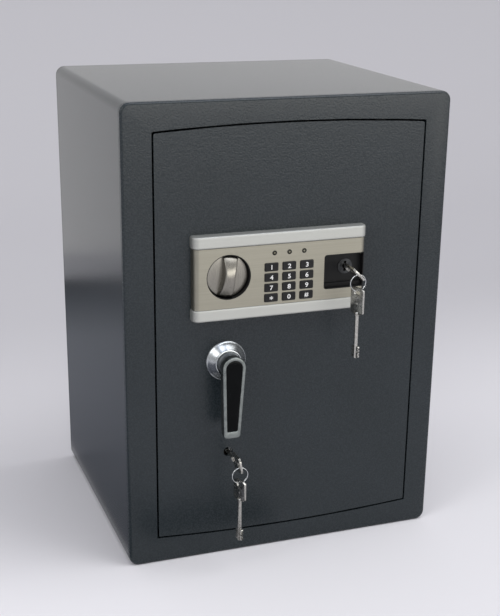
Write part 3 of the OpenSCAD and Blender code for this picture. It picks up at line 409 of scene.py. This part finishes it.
# a character as a thin print, centred on the cap's face
def makeLegend(name, legend, x, z):
    s = padSize
    text = bpy.data.curves.new(name + "_legend", "FONT")
    text.body = legend
    text.size = s["digit"] * mm * (s["star"] if legend == "*" else 1.0)
    text.align_x = "CENTER"
    text.offset = s["starStroke" if legend == "*" else "stroke"] * mm
    letter = bpy.data.objects.new(name + "_text", text)
    bpy.context.scene.collection.objects.link(letter)
    mesh = bpy.data.meshes.new_from_object(letter.evaluated_get(bpy.context.evaluated_depsgraph_get()))
    bpy.data.objects.remove(letter)
    low = [min(v.co[i] for v in mesh.vertices) for i in range(2)]
    high = [max(v.co[i] for v in mesh.vertices) for i in range(2)]
    level = (s["front"] - s["ink"]) * mm
    for v in mesh.vertices:
        u, w = v.co[0] - (low[0] + high[0]) / 2, v.co[1] - (low[1] + high[1]) / 2
        v.co = (x * mm + u * s["stretch"], level, z * mm + w)
    finishPiece(name + "_legend", mesh, printWhite, name)


def makeKeys():
    s = padSize
    for row, names in enumerate(keyNames):
        for column, name in enumerate(names):
            x = s["x"] + (column - 1) * s["pitchX"]
            z = s["z"] + (1.5 - row) * s["pitchZ"]
            levels = [(0.0, s["back"])] + fillet(s["edge"], s["front"])
            levels += [(s["edge"] + 0.5, s["front"] + 0.02), (s["edge"] + 2.4, s["front"] + s["dish"])]
            loops = [capLoop(x, z, y, inset) for inset, y in levels]
            newPiece(name + "_cap", *loft(loops), keyBlack, name, [name], 50)
            makeLegend(name, legends.get(name, name[-1]), x, z)


makeKeys()
print("stage: keypad made")


# indicator lights: each a domed lens in a rim, with its lighter core seen through it
lightSize = {"x": -5.1, "pitch": 16.1, "z": 336.6, "panel": -161.5, "radius": 2.5, "lens": 2.25, "core": 0.95}


def makeLights():
    s = lightSize
    lenses, rims, cores = [], [], []
    for i in (-1, 0, 1):
        x, y = s["x"] + i * s["pitch"], s["panel"]
        dome = [(s["lens"], y + 2.5), (s["lens"], y + 0.3)]
        dome += [(s["lens"] * math.cos(a), y + 0.3 - 0.55 * math.sin(a)) for a in
                 (math.pi / 2 * k / 7 for k in range(1, 7))]
        lenses.append(lathe(x, s["z"], dome, 40))
        rim = [(s["radius"], y + 2.5), (s["radius"], y - 0.12), (s["radius"] - 0.12, y - 0.25),
               (s["radius"] - 0.4, y - 0.25), (s["lens"] + 0.05, y - 0.05), (s["lens"] + 0.03, y + 0.6)]
        core = [(s["core"], y + 0.2), (s["core"], y - 0.24), (s["core"] * 0.6, y - 0.275)]
        rims.append(lathe(x, s["z"], rim, 40))
        cores.append(lathe(x, s["z"], core, 24))
    newPiece("light_lenses", *joined(*lenses), smokeLens, "door", ["indicator_lights"])
    newPiece("light_rims", *joined(*rims), smokeLens, "door")
    newPiece("light_cores", *joined(*cores), lightCore, "door")


makeLights()
print("stage: indicator lights made")


# keys: both kinds lie along Y from the bow's end to the tip before they are put in place
keySize = {"bowWide": 18.0, "bowThick": 2.4, "slotWide": 8.0, "slotHigh": 5.0, "slotIn": 5.0, "shank": 2.1,
           "collar": 2.9, "bitHalf": 4.8, "bitThick": 2.2, "bitLength": 12.0, "edge": 0.35, "rivet": 1.3,
           "rivetAt": 0.62, "spareTurn": 20.0, "notchPitch": 3.0, "notchWide": 1.5,
           "notchDepths": (1.3, 2.3, 0.8, 1.9, 1.1, 2.5)}
# the windings' pitch is in wire radii, and a spare key's slot lies that far below the ring that it hangs on
ringSize = {"radius": 8.6, "wire": 0.33, "turns": 1.9, "pitch": 2.02, "hang": 1.55}
keySets = {
    "main": {"x": -65.5, "z": 119.0, "tip": -122.0, "length": 70.0, "bow": 23.0, "roll": 80.0,
             "shift": 2.8},
    "override": {"x": 60.0, "z": 314.5, "tip": -116.0, "length": 76.0, "bow": 28.0, "roll": 45.0,
                 "shift": 1.15}}


# a flat plate with rounded edges from closed outlines, the first its rim and the others holes
def plate(outlines, thick, edge):
    curve = bpy.data.curves.new("plate", "CURVE")
    curve.dimensions, curve.fill_mode = "2D", "BOTH"
    curve.extrude, curve.bevel_depth, curve.offset = (thick / 2 - edge) * mm, edge * mm, -edge * mm
    curve.bevel_resolution = 3
    for outline in outlines:
        spline = curve.splines.new("POLY")
        spline.points.add(len(outline) - 1)
        for point, (x, y) in zip(spline.points, outline):
            point.co = (x * mm, y * mm, 0, 1)
        spline.use_cyclic_u = True
    shape = bpy.data.objects.new("plate", curve)
    bpy.context.scene.collection.objects.link(shape)
    mesh = bpy.data.meshes.new_from_object(shape.evaluated_get(bpy.context.evaluated_depsgraph_get()))
    bpy.data.objects.remove(shape)
    return [tuple(c / mm for c in v.co) for v in mesh.vertices], [tuple(f.vertices) for f in mesh.polygons]


# the bow: a rectangle whose ends follow a circle, its corners softened
def bowOutline(bow):
    half, r = keySize["bowWide"] / 2, bow / 2 + 1.2
    start = math.degrees(math.asin(min((bow / 2) / r, 1)))
    side = math.degrees(math.acos(half / r))
    outline = [(half, bow / 2)]
    outline += [(x, y + bow / 2) for x, y in arcPoints(0, 0, r, side, start, 10)]
    outline += [(x, y + bow / 2) for x, y in arcPoints(0, 0, r, 180 - start, 180 - side, 10)]
    outline += [(-half, bow / 2)]
    outline += [(x, y + bow / 2) for x, y in arcPoints(0, 0, r, 180 + side, 180 + start, 10)]
    outline += [(x, y + bow / 2) for x, y in arcPoints(0, 0, r, 360 - start, 360 - side, 10)]
    return outline


# the double bit: both edges notched to different depths
def bitOutline(length):
    s = keySize
    y0, y1, half = length - 1 - s["bitLength"], length - 1, s["bitHalf"]
    right, left = [(1.2, y0), (half - 0.6, y0), (half, y0 + 0.6)], []
    for k in range(3):
        middle = y0 + 2.7 + s["notchPitch"] * k
        for edge, depths in ((right, s["notchDepths"][:3]), (left, s["notchDepths"][3:6])):
            deep = half - depths[k]
            edge += [(half, middle - s["notchWide"] / 2), (deep, middle - s["notchWide"] / 2 + 0.15),
                     (deep, middle + s["notchWide"] / 2 - 0.15), (half, middle + s["notchWide"] / 2)]
    right += [(half, y1 - 0.5), (half - 0.5, y1)]
    left = [(-1.2, y0), (-half + 0.6, y0), (-half, y0 + 0.6)] + [(-x, y) for x, y in left]
    left += [(-half, y1 - 0.5), (-half + 0.5, y1)]
    return right + left[::-1]


# the round shank with the double collar that holds the bow
def turnedShank(length, bow):
    shank, collar = keySize["shank"], keySize["collar"]
    profile = [(1.0, bow - 2.2), (collar - 0.4, bow - 2.2), (collar, bow - 1.8), (collar, bow - 0.6),
               (collar - 0.5, bow - 0.35), (collar - 0.5, bow + 0.05), (collar, bow + 0.3),
               (collar, bow + 1.0), (collar - 0.35, bow + 1.4), (shank, bow + 1.6), (shank, length - 0.5),
               (shank - 0.5, length)]
    return lathe(0, 0, profile, 32)


# a whole key: bow with its slot, shank, bit, and a rivet's head on each side of the bow
def keyParts(length, bow):
    s = keySize
    slotRound = s["slotHigh"] / 2 - 0.1
    slot = [(x, y + s["slotIn"]) for x, y in roundedOutline(s["slotWide"], s["slotHigh"], slotRound)]
    parts = [plate([bowOutline(bow), slot], s["bowThick"], s["edge"]), turnedShank(length, bow),
             plate([bitOutline(length)], s["bitThick"], 0.12)]
    for side in (-1, 1):
        level = side * s["bowThick"] / 2
        head = ((s["rivet"], -0.2), (s["rivet"], 0.12), (s["rivet"] - 0.2, 0.22), (0.3, 0.3))
        rings = [(r, level + side * h) for r, h in head]
        parts.append(loft([[(x, y + bow * s["rivetAt"], h) for x, y in circleOutline(r, 32)]
                           for r, h in rings]))
    return joined(*parts)


def moved(part, matrix):
    points, faces = part
    return [tuple(matrix @ Vector(p)) for p in points], faces


# a node tree's result as a plain mesh, grown on a mesh that carries it
def grown(name, base, build, sizes):
    tree = bpy.data.node_groups.new(name, "GeometryNodeTree")
    tree.interface.new_socket("Base", in_out="INPUT", socket_type="NodeSocketGeometry")
    for key, value in sizes.items():
        kind = "NodeSocketInt" if isinstance(value, int) else "NodeSocketFloat"
        tree.interface.new_socket(key, in_out="INPUT", socket_type=kind)
    tree.interface.new_socket("Geometry", in_out="OUTPUT", socket_type="NodeSocketGeometry")
    source, out = addNode(tree, "NodeGroupInput"), addNode(tree, "NodeGroupOutput")
    tree.links.new(build(tree, source.outputs), out.inputs[0])
    carrier = bpy.data.objects.new(name, base)
    bpy.context.scene.collection.objects.link(carrier)
    modifier = carrier.modifiers.new(name, "NODES")
    modifier.node_group = tree
    for item in tree.interface.items_tree:
        if item.name in sizes and item.in_out == "INPUT":
            modifier[item.identifier] = sizes[item.name]
    mesh = bpy.data.meshes.new_from_object(carrier.evaluated_get(bpy.context.evaluated_depsgraph_get()))
    bpy.data.objects.remove(carrier)
    return mesh


# the last two nodes of such a tree
def painted(tree, geometry, material):
    real = addNode(tree, "GeometryNodeRealizeInstances", {}, {0: geometry})
    paint = addNode(tree, "GeometryNodeSetMaterial", {"Material": material}, {"Geometry": real.outputs[0]})
    return paint.outputs[0]


# a split ring: a wire wound nearly twice round, from a spiral with a round profile
def splitRing(name):
    s = ringSize

    def build(tree, sizes):
        pitch = addNode(tree, "ShaderNodeMath", {1: s["pitch"]}, {0: sizes["Wire Radius"]},
                        operation="MULTIPLY")
        high = addNode(tree, "ShaderNodeMath", {}, {0: pitch.outputs[0], 1: sizes["Turns"]},
                       operation="MULTIPLY")
        path = addNode(tree, "GeometryNodeCurveSpiral", {"Resolution": 72}, {
            "Rotations": sizes["Turns"], "Start Radius": sizes["Ring Radius"],
            "End Radius": sizes["Ring Radius"], "Height": high.outputs[0]})
        section = addNode(tree, "GeometryNodeCurvePrimitiveCircle", {"Resolution": 12}, {
            "Radius": sizes["Wire Radius"]})
        wire = addNode(tree, "GeometryNodeCurveToMesh", {"Fill Caps": True}, {
            "Curve": path.outputs[0], "Profile Curve": section.outputs[0]})
        return painted(tree, wire.outputs[0], ringSteel)

    mesh = grown(name, bpy.data.meshes.new(name), build, {
        "Ring Radius": s["radius"] * mm, "Wire Radius": s["wire"] * mm, "Turns": s["turns"]})
    middle = s["wire"] * s["pitch"] / 2 * s["turns"]
    points = [(v.co[0] / mm, v.co[1] / mm, v.co[2] / mm - middle) for v in mesh.vertices]
    return points, [tuple(f.vertices) for f in mesh.polygons]


# a key in its lock, a ring through its bow, and a spare key hanging from the ring
def makeKeySet(kind):
    s, k, ring = keySets[kind], keySize, ringSize
    part = keyParts(s["length"], s["bow"])
    bowEnd = s["tip"] - s["length"]
    roll = Matrix.Rotation(math.radians(s["roll"]), 4, "Y")
    inserted = moved(part, Matrix.Translation((s["x"], bowEnd, s["z"])) @ roll)
    newPiece(kind + "_key_nickel", *inserted, keyNickel, kind + "_key", [kind + "_key"], 40)
    shift = roll @ Vector((s["shift"], 0, 0))
    middle = Vector((s["x"], bowEnd + k["slotIn"], s["z"] - ring["radius"])) + shift
    turned = Matrix.Translation(middle) @ Matrix.Rotation(math.radians(90), 4, "X")
    newPiece(kind + "_split_ring", *moved(splitRing(kind + "_ring_wire"), turned), ringSteel,
             kind + "_ring", [kind + "_ring"], 60)
    hang = Matrix.Translation(middle + Vector((0, 0, k["slotIn"] - ring["radius"] - ring["hang"])))
    down = Matrix.Rotation(math.radians(k["spareTurn"]), 4, "Z") @ Matrix.Rotation(math.radians(90), 4, "Y") \
        @ Matrix.Rotation(math.radians(-90), 4, "Z")
    newPiece(kind + "_spare_nickel", *moved(part, hang @ down), keyNickel, kind + "_spare",
             [kind + "_spare_key"], 40)


for kind in keySets:
    makeKeySet(kind)
print("stage: keys and rings made")


# carpet: needled felt, its top a little uneven, with loose fibres lying in it
matSize = {"x": (-163.0, 163.0), "y": (-102.0, 146.0), "z": (3.0, 6.0), "step": 5.0, "swell": 0.5,
           "round": 0.9}
fibreSize = {"Fibres per square metre": 90000.0, "Length": 2.6 * mm, "Width": 0.22 * mm, "Seed": 7}


def makeCarpet():
    s = matSize
    (x0, x1), (y0, y1), (z0, z1) = s["x"], s["y"], s["z"]
    columns, rows = round((x1 - x0) / s["step"]), round((y1 - y0) / s["step"])
    top, bottom = [], []
    for j in range(rows + 1):
        for i in range(columns + 1):
            x, y = x0 + (x1 - x0) * i / columns, y0 + (y1 - y0) * j / rows
            edge = i in (0, columns) or j in (0, rows)
            swell = noise.noise(Vector((x / 17, y / 17, 0.3))) * 0.5 + 0.5
            top.append((x, y, z1 - (s["round"] if edge else s["swell"] * swell)))
            bottom.append((x, y, z0))
    wide, count = columns + 1, len(top)
    quads = [(j * wide + i, j * wide + i + 1, (j + 1) * wide + i + 1, (j + 1) * wide + i)
             for j in range(rows) for i in range(columns)]
    faces = quads + [tuple(k + count for k in reversed(quad)) for quad in quads]
    rim = ([i for i in range(columns)] + [columns + j * wide for j in range(rows)]
           + [rows * wide + i for i in range(columns, 0, -1)] + [j * wide for j in range(rows, 0, -1)])
    faces += [(a, a + count, b + count, b) for a, b in zip(rim, rim[1:] + rim[:1])]
    mat = newPiece("carpet_felt", top + bottom, faces, carpetFelt, "cabinet", ["carpet_mat"], 60)
    field = bpy.data.meshes.new("fibre_field")
    field.from_pydata([[c * mm for c in point] for point in top], [], quads)

    def build(tree, sizes):
        points = addNode(tree, "GeometryNodeDistributePointsOnFaces", {}, {
            "Mesh": sizes["Base"], "Density": sizes["Fibres per square metre"], "Seed": sizes["Seed"]})
        blade = addNode(tree, "GeometryNodeMeshGrid", {"Vertices X": 2, "Vertices Y": 3}, {
            "Size X": sizes["Width"], "Size Y": sizes["Length"]})
        turn = addNode(tree, "FunctionNodeRandomValue", {0: (-0.3, -0.2, 0.0), 1: (0.3, 0.2, math.tau)},
                       {"Seed": sizes["Seed"]}, data_type="FLOAT_VECTOR")
        blades = addNode(tree, "GeometryNodeInstanceOnPoints", {}, {
            "Points": points.outputs[0], "Instance": blade.outputs[0], "Rotation": turn.outputs[0]})
        return painted(tree, blades.outputs[0], carpetFibre)

    fibres = finishPiece("carpet_fibres", grown("fibres", field, build, fibreSize), carpetFibre,
                         "cabinet")


# pan-headed screws of the inner cover: head radius and height, and the cross cut in them
screwSize = {"xs": (-130.15, -3.9, 122.35), "zs": (50.5, 245.0, 439.5), "level": -110.5, "radius": 4.0,
             "high": 1.8, "cross": 2.6, "slot": 0.9, "deep": 1.1}


def makeScrews():
    s = screwSize
    dome = [(s["radius"], 0.0), (s["radius"], 0.5), (s["radius"] - 0.2, 0.9), (s["radius"] - 0.8, 1.35),
            (s["radius"] - 1.9, 1.68), (s["radius"] - 3.0, s["high"])]
    head = bpy.data.objects.new("screw_head", bpy.data.meshes.new("screw_head"))
    points, faces = lathe(0, 0, dome, 40)
    head.data.from_pydata([[c * mm for c in point] for point in points], [], faces)
    cutMesh = bpy.data.meshes.new("screw_cross")
    arm, slot, y0, y1 = s["cross"], s["slot"] / 2, s["high"] - s["deep"], s["high"] + 1
    cross = [(arm, -slot), (arm, slot), (slot, slot), (slot, arm), (-slot, arm), (-slot, slot), (-arm, slot),
             (-arm, -slot), (-slot, -slot), (-slot, -arm), (slot, -arm), (slot, -slot)]
    points, faces = loft([[(x * k, y, z * k) for x, z in cross] for y, k in ((y0, 0.7), (y1, 1.05))])
    cutMesh.from_pydata([[c * mm for c in point] for point in points], [], faces)
    cut = bpy.data.objects.new("screw_cross", cutMesh)
    for thing in (head, cut):
        shell = bmesh.new()
        shell.from_mesh(thing.data)
        bmesh.ops.recalc_face_normals(shell, faces=shell.faces)
        shell.to_mesh(thing.data)
        shell.free()
        bpy.context.scene.collection.objects.link(thing)
    carve = head.modifiers.new("cross", "BOOLEAN")
    carve.object, carve.operation, carve.solver = cut, "DIFFERENCE", "EXACT"
    bpy.context.view_layer.update()
    field = bpy.data.meshes.new("screw_places")
    field.from_pydata([(x * mm, s["level"] * mm, z * mm) for x in s["xs"] for z in s["zs"]
                       if (x, z) != (s["xs"][1], s["zs"][1])], [], [])

    def build(tree, sizes):
        info = addNode(tree, "GeometryNodeObjectInfo", {"Object": head})
        turn = addNode(tree, "FunctionNodeRandomValue", {0: (0.0, 0.0, 0.0), 1: (0.0, math.tau, 0.0)},
                       {"Seed": sizes["Seed"]}, data_type="FLOAT_VECTOR")
        heads = addNode(tree, "GeometryNodeInstanceOnPoints", {}, {
            "Points": sizes["Base"], "Instance": info.outputs["Geometry"], "Rotation": turn.outputs[0]})
        return painted(tree, heads.outputs[0], zinc)

    mesh = grown("cover_screw_heads", field, build, {"Seed": 3})
    bpy.data.objects.remove(head)
    bpy.data.objects.remove(cut)
    finishPiece("cover_screw_heads", mesh, zinc, "door", ["cover_screws"], 35)


# cells: a drawn can in a printed wrap, its cap and its foot bare
cellSize = {"x": 52.0, "y": -101.4, "z": 298.0, "radius": 7.05, "length": 50.0, "pitch": 14.4, "nub": 2.6}


def makeCells():
    s = cellSize
    half, r = s["length"] / 2, s["radius"]
    wrap = [(r - 1.1, -half + 0.3), (r - 0.15, -half + 0.35), (r, -half + 0.7), (r, half - 2.1),
            (r - 0.3, half - 1.7), (r - 1.2, half - 1.45)]
    bare = [(r - 1.0, half - 1.55), (s["nub"] + 0.5, half - 1.45), (s["nub"], half - 1.3),
            (s["nub"], half - 0.25), (s["nub"] - 0.3, half)]
    foot = [(r - 2.4, -half), (r - 1.2, -half), (r - 1.0, -half + 0.15), (r - 1.0, -half + 0.5)]
    wraps, metals = [], []
    for i in range(4):
        x, way = s["x"] + (i - 1.5) * s["pitch"], -1 if i % 2 else 1
        for store, profile in ((wraps, wrap), (metals, bare), (metals, foot)):
            store.append(loft([[(x + u, s["y"] + v, s["z"] + way * h) for u, v in circleOutline(rr, 48)]
                               for rr, h in profile]))
    newPiece("cell_wraps", *joined(*wraps), cellWrap, "door", ["batteries"])
    newPiece("cell_metal", *joined(*metals), satinChrome, "door", ["batteries"])


makeCarpet()
makeScrews()
makeCells()
print("stage: carpet, screws and cells made")


# the finish of every node that keeps its own mesh
finishes = {
    graphite: ["front_frame", "door_stop", "bolt_keeper", "shelf_brackets", "shelf", "door_plate",
               "door_tray", "inner_cover", "hinge_brackets"],
    smoothGraphite: ["cabinet_wrap", "back_plate"],
    zinc: ["hinge_pins", "guide_studs", "lock_cases", "handle_spindle", "bolt_carriage", "knob_cam",
           "release_bar", "solenoid_plunger", "main_lock_bolt"],
    nickel: ["panel_fascia"],
    chrome: ["locking_bolts"],
    blackPlastic: ["battery_box", "battery_cover", "panel_base", "knob_well", "lock_recess"],
    lockDark: ["main_lock_rotor", "override_rotor"],
    lockSteel: ["override_cylinder"],
    winding: ["solenoid"],
    solderMask: ["circuit_board"],
    rubber: ["keypad_mat"],
}
for material, names in finishes.items():
    for name in names:
        for materialSlot in nodes[name].material_slots:
            materialSlot.material = material
print("stage: finishes set")


# pressed, cast and painted parts, copied with their sharp edges rounded: body, radius in millimetres
edgeRounds = {"cabinet_wrap": ("cabinet", 1.2), "front_frame": ("cabinet", 2.3), "door_plate": ("door", 0.7),
              "door_tray": ("door", 0.4), "battery_box": ("door", 0.4), "shelf_brackets": ("cabinet", 0.4),
              "bolt_keeper": ("cabinet", 0.4), "door_stop": ("cabinet", 0.5), "locking_bolts": ("bolts", 0.5),
              "panel_fascia": ("door", 0.3), "knob_well": ("door", 0.3), "lock_recess": ("door", 0.4),
              "inner_cover": ("door", 0.8), "battery_cover": ("battery_cover", 0.5),
              "shelf": ("cabinet", 0.5)}


# a copy of a CAD piece with its triangles merged and each edge sharper than 50 degrees rounded
def roundedCopy(name, body, radius):
    source = nodes[name]
    shell = bmesh.new()
    shell.from_mesh(source.data)
    bmesh.ops.remove_doubles(shell, verts=shell.verts, dist=2e-6)
    bmesh.ops.dissolve_limit(shell, angle_limit=math.radians(1), verts=shell.verts, edges=shell.edges)
    sharp = [e for e in shell.edges if len(e.link_faces) == 2 and e.calc_face_angle(0) > math.radians(50)]
    rounds = bmesh.ops.bevel(shell, geom=sharp, offset=radius * mm, offset_type="OFFSET", segments=3,
                             profile=0.5, affect="EDGES", clamp_overlap=True)
    curved = set(rounds["faces"])
    shell.edges.index_update()
    borders = [e.index for e in shell.edges if len({f in curved for f in e.link_faces}) == 2]
    mesh = bpy.data.meshes.new(name + "_rounded")
    shell.to_mesh(mesh)
    shell.free()
    # the flat faces keep their own normals, so that only the round strip shades
    mesh.polygons.foreach_set("use_smooth", [True] * len(mesh.polygons))
    mesh.set_sharp_from_angle(angle=math.radians(31))
    for i in borders:
        mesh.edges[i].use_edge_sharp = True
    placePiece(name + "_rounded", mesh, source.material_slots[0].material, body, [name])


for name, (body, radius) in edgeRounds.items():
    roundedCopy(name, body, radius)
print("stage: edges rounded")


# the floor runs back and curves up into the backdrop
studio = {"frontY": -3.2, "bendY": 1.3, "bendRadius": 1.6, "topZ": 5.0, "halfWidth": 5.5, "bendSteps": 24,
          "paleY": 0.0, "greyY": 0.75, "pale": "#eae9ee", "grey": "#c7c6cb"}


def makeStudio():
    s = studio
    path = [(s["frontY"], 0), (-1.0, 0), (0.0, 0), (s["bendY"], 0)]
    for i in range(1, s["bendSteps"] + 1):
        angle = math.pi / 2 * i / s["bendSteps"]
        path.append((s["bendY"] + s["bendRadius"] * math.sin(angle), s["bendRadius"] * (1 - math.cos(angle))))
    path.append((s["bendY"] + s["bendRadius"], s["topZ"]))
    verts = [(x, y, z) for y, z in path for x in (-s["halfWidth"], s["halfWidth"])]
    faces = [(2 * i, 2 * i + 1, 2 * i + 3, 2 * i + 2) for i in range(len(path) - 1)]
    mesh = bpy.data.meshes.new("studio_floor")
    mesh.from_pydata(verts, [], faces)
    floor = bpy.data.objects.new("studio_floor", mesh)
    bpy.context.scene.collection.objects.link(floor)
    for face in mesh.polygons:
        face.use_smooth = True
    # pale paper: nearly white in front, greyer towards the back
    material, tree, surface, place = newMaterial("backdrop_paper", {
        "Roughness": 0.9, "Specular IOR Level": 0.05})
    split = addNode(tree, "ShaderNodeSeparateXYZ", {}, {0: place})
    tone = mapRange(tree, split.outputs[1], 0, 1, s["paleY"] * 1000, s["greyY"] * 1000)
    ramp = addNode(tree, "ShaderNodeValToRGB", {}, {0: tone})
    for element, colour in zip(ramp.color_ramp.elements, (s["pale"], s["grey"])):
        element.color = toLinear(colour)
    ramp.color_ramp.interpolation = "EASE"
    tree.links.new(ramp.outputs[0], surface.inputs["Base Color"])
    mesh.materials.append(material)


# a soft box aimed at a point of the object
def softBox(name, place, target, size, power, colour="#ffffff"):
    data = bpy.data.lights.new(name, "AREA")
    data.shape = "RECTANGLE"
    data.size, data.size_y = size
    data.energy = power
    data.color = toLinear(colour)[:3]
    lamp = bpy.data.objects.new(name, data)
    bpy.context.scene.collection.objects.link(lamp)
    lamp.location = place
    lamp.rotation_euler = (Vector(target) - Vector(place)).to_track_quat("-Z", "Y").to_euler()
    return lamp


# what only glossy surfaces see: a wall behind the cabinet, a window low in front and the sky, each with its
# place, target, size, power and colour; then a card on the floor whose tones are painted reflection and
# painted shade, and a near-black strip that is painted shade in reflections
glossLights = {
    "light_wall_low": ((0.15, 0.95, 0.235), (0.15, -1.0, 0.235), (2.3, 0.37), 0.69, "#fffff4"),
    "light_wall_high": ((0.15, 0.95, 0.73), (0.15, -1.0, 0.73), (2.3, 0.62), 1.35, "#fffff4"),
    "light_window": ((1.0, -2.6, 0.62), (0.0, -0.15, 0.42), (3.0, 0.9), 28, "#fffdf8"),
    "light_sky": ((0.0, -0.2, 2.8), (0.0, -0.2, 0.0), (3.0, 3.0), 22, "#a9c0ea")}
cardSize = {"x": (-1.3, -0.18), "y": (-0.3, 0.93), "z": 0.004}
# the card's tones along Y from front to back, a lighter middle between dark ends: painted reflection and
# painted shade for the cabinet's left side to mirror
paintedReflectionTones = ((0.0, "#5c5e68"), (0.3, "#9c9ea8"), (0.72, "#989aa2"), (0.93, "#5a5c62"), (1.0, "#101112"))
# a near-black strip in front of the door: painted shade in the reflections on the knob's ridge and the door's
# foot
flagSize = {"x": (-0.15, 0.01), "y": (-0.27, -0.2), "z": 0.003}


def onlyGloss(thing):
    thing.visible_camera = thing.visible_diffuse = thing.visible_transmission = thing.visible_shadow = False


# a card on the floor that only reflections show
def layCard(name, size, material):
    (x0, x1), (y0, y1), z = size["x"], size["y"], size["z"]
    mesh = bpy.data.meshes.new(name)
    mesh.from_pydata([(x0, y0, z), (x1, y0, z), (x1, y1, z), (x0, y1, z)], [], [(0, 1, 2, 3)])
    mesh.materials.append(material)
    card = bpy.data.objects.new(name, mesh)
    bpy.context.scene.collection.objects.link(card)
    onlyGloss(card)


def makeReflections():
    for name, (place, target, size, power, colour) in glossLights.items():
        onlyGloss(softBox(name, place, target, size, power, colour))
    # painted shade: a near-black sheet seen only in gloss
    paintedShadeFlag = newMaterial("painted_shade_flag_cloth", {"Base Color": toLinear("#1c1c1e"), "Roughness": 0.95})[0]
    layCard("studio_flag", flagSize, paintedShadeFlag)
    y0, y1 = cardSize["y"]
    # painted reflection: a card seen only in gloss, graded along Y into light and dark bands
    material, tree, surface, place = newMaterial("studio_card_painted_reflection", {
        "Roughness": 0.95, "Specular IOR Level": 0.0})
    split = addNode(tree, "ShaderNodeSeparateXYZ", {}, {0: place})
    along = mapRange(tree, split.outputs[1], 0, 1, y0 * 1000, y1 * 1000)
    ramp = addNode(tree, "ShaderNodeValToRGB", {}, {0: along})
    for _ in paintedReflectionTones[2:]:
        ramp.color_ramp.elements.new(0.5)
    for element, (at, colour) in zip(ramp.color_ramp.elements, paintedReflectionTones):
        element.position, element.color = at, toLinear(colour)
    tree.links.new(ramp.outputs[0], surface.inputs["Base Color"])
    layCard("studio_card", cardSize, material)


# the view that fits the photograph's edges: place in metres, angles in degrees, lens in pixels of its width
cameraFit = {"place": (-0.451, -1.270, 0.657), "yaw": 20.55, "pitch": 19.65, "roll": 0.89, "focal": 1218.0,
             "middle": (260.0, 350.0), "image": (500.0, 616.0)}


def makeCamera():
    c = cameraFit
    yaw, pitch, roll = (math.radians(c[key]) for key in ("yaw", "pitch", "roll"))
    ahead = Vector((math.sin(yaw) * math.cos(pitch), math.cos(yaw) * math.cos(pitch), -math.sin(pitch)))
    right = ahead.cross(Vector((0, 0, 1))).normalized()
    up = right.cross(ahead)
    side = math.cos(roll) * right + math.sin(roll) * up
    top = -math.sin(roll) * right + math.cos(roll) * up
    data = bpy.data.cameras.new("camera")
    wide, high = c["image"]
    data.sensor_width = 36.0
    data.lens = c["focal"] * data.sensor_width / high
    data.shift_x = (wide / 2 - c["middle"][0]) / high
    data.shift_y = (c["middle"][1] - high / 2) / high
    camera = bpy.data.objects.new("camera", data)
    camera.matrix_world = Matrix.Translation(c["place"]) @ Matrix((side, top, -ahead)).transposed().to_4x4()
    bpy.context.scene.collection.objects.link(camera)
    bpy.context.scene.camera = camera


# what lights everything: a broad sun, two soft boxes (place, target, size, power) and the bright room
dayLights = {"sun": 1.0, "sunSpread": 40.0, "sunWay": (-0.62, 0.25, -1.0), "room": 0.695,
             "roomTone": "#fbfbfd",
             "boxes": {"light_raking": ((-0.1, -0.62, 1.45), (-0.02, -0.15, 0.42), (0.9, 0.25), 2),
                       "light_left": ((-1.5, -0.9, 1.3), (-0.1, -0.1, 0.3), (0.7, 0.9), 6)}}


def makeDaylight():
    s = dayLights
    data = bpy.data.lights.new("light_key", "SUN")
    data.energy, data.angle = s["sun"], math.radians(s["sunSpread"])
    sun = bpy.data.objects.new("light_key", data)
    bpy.context.scene.collection.objects.link(sun)
    sun.rotation_euler = Vector(s["sunWay"]).to_track_quat("-Z", "Y").to_euler()
    for name, box in s["boxes"].items():
        softBox(name, *box)
    world = bpy.data.worlds.new("studio_world")
    world.use_nodes = True
    background = world.node_tree.nodes["Background"]
    background.inputs[0].default_value = toLinear(s["roomTone"])
    background.inputs[1].default_value = s["room"]
    bpy.context.scene.world = world


makeStudio()
makeReflections()
makeDaylight()
bpy.context.scene.view_settings.view_transform = "Standard"
makeCamera()
print("stage: studio and camera set")
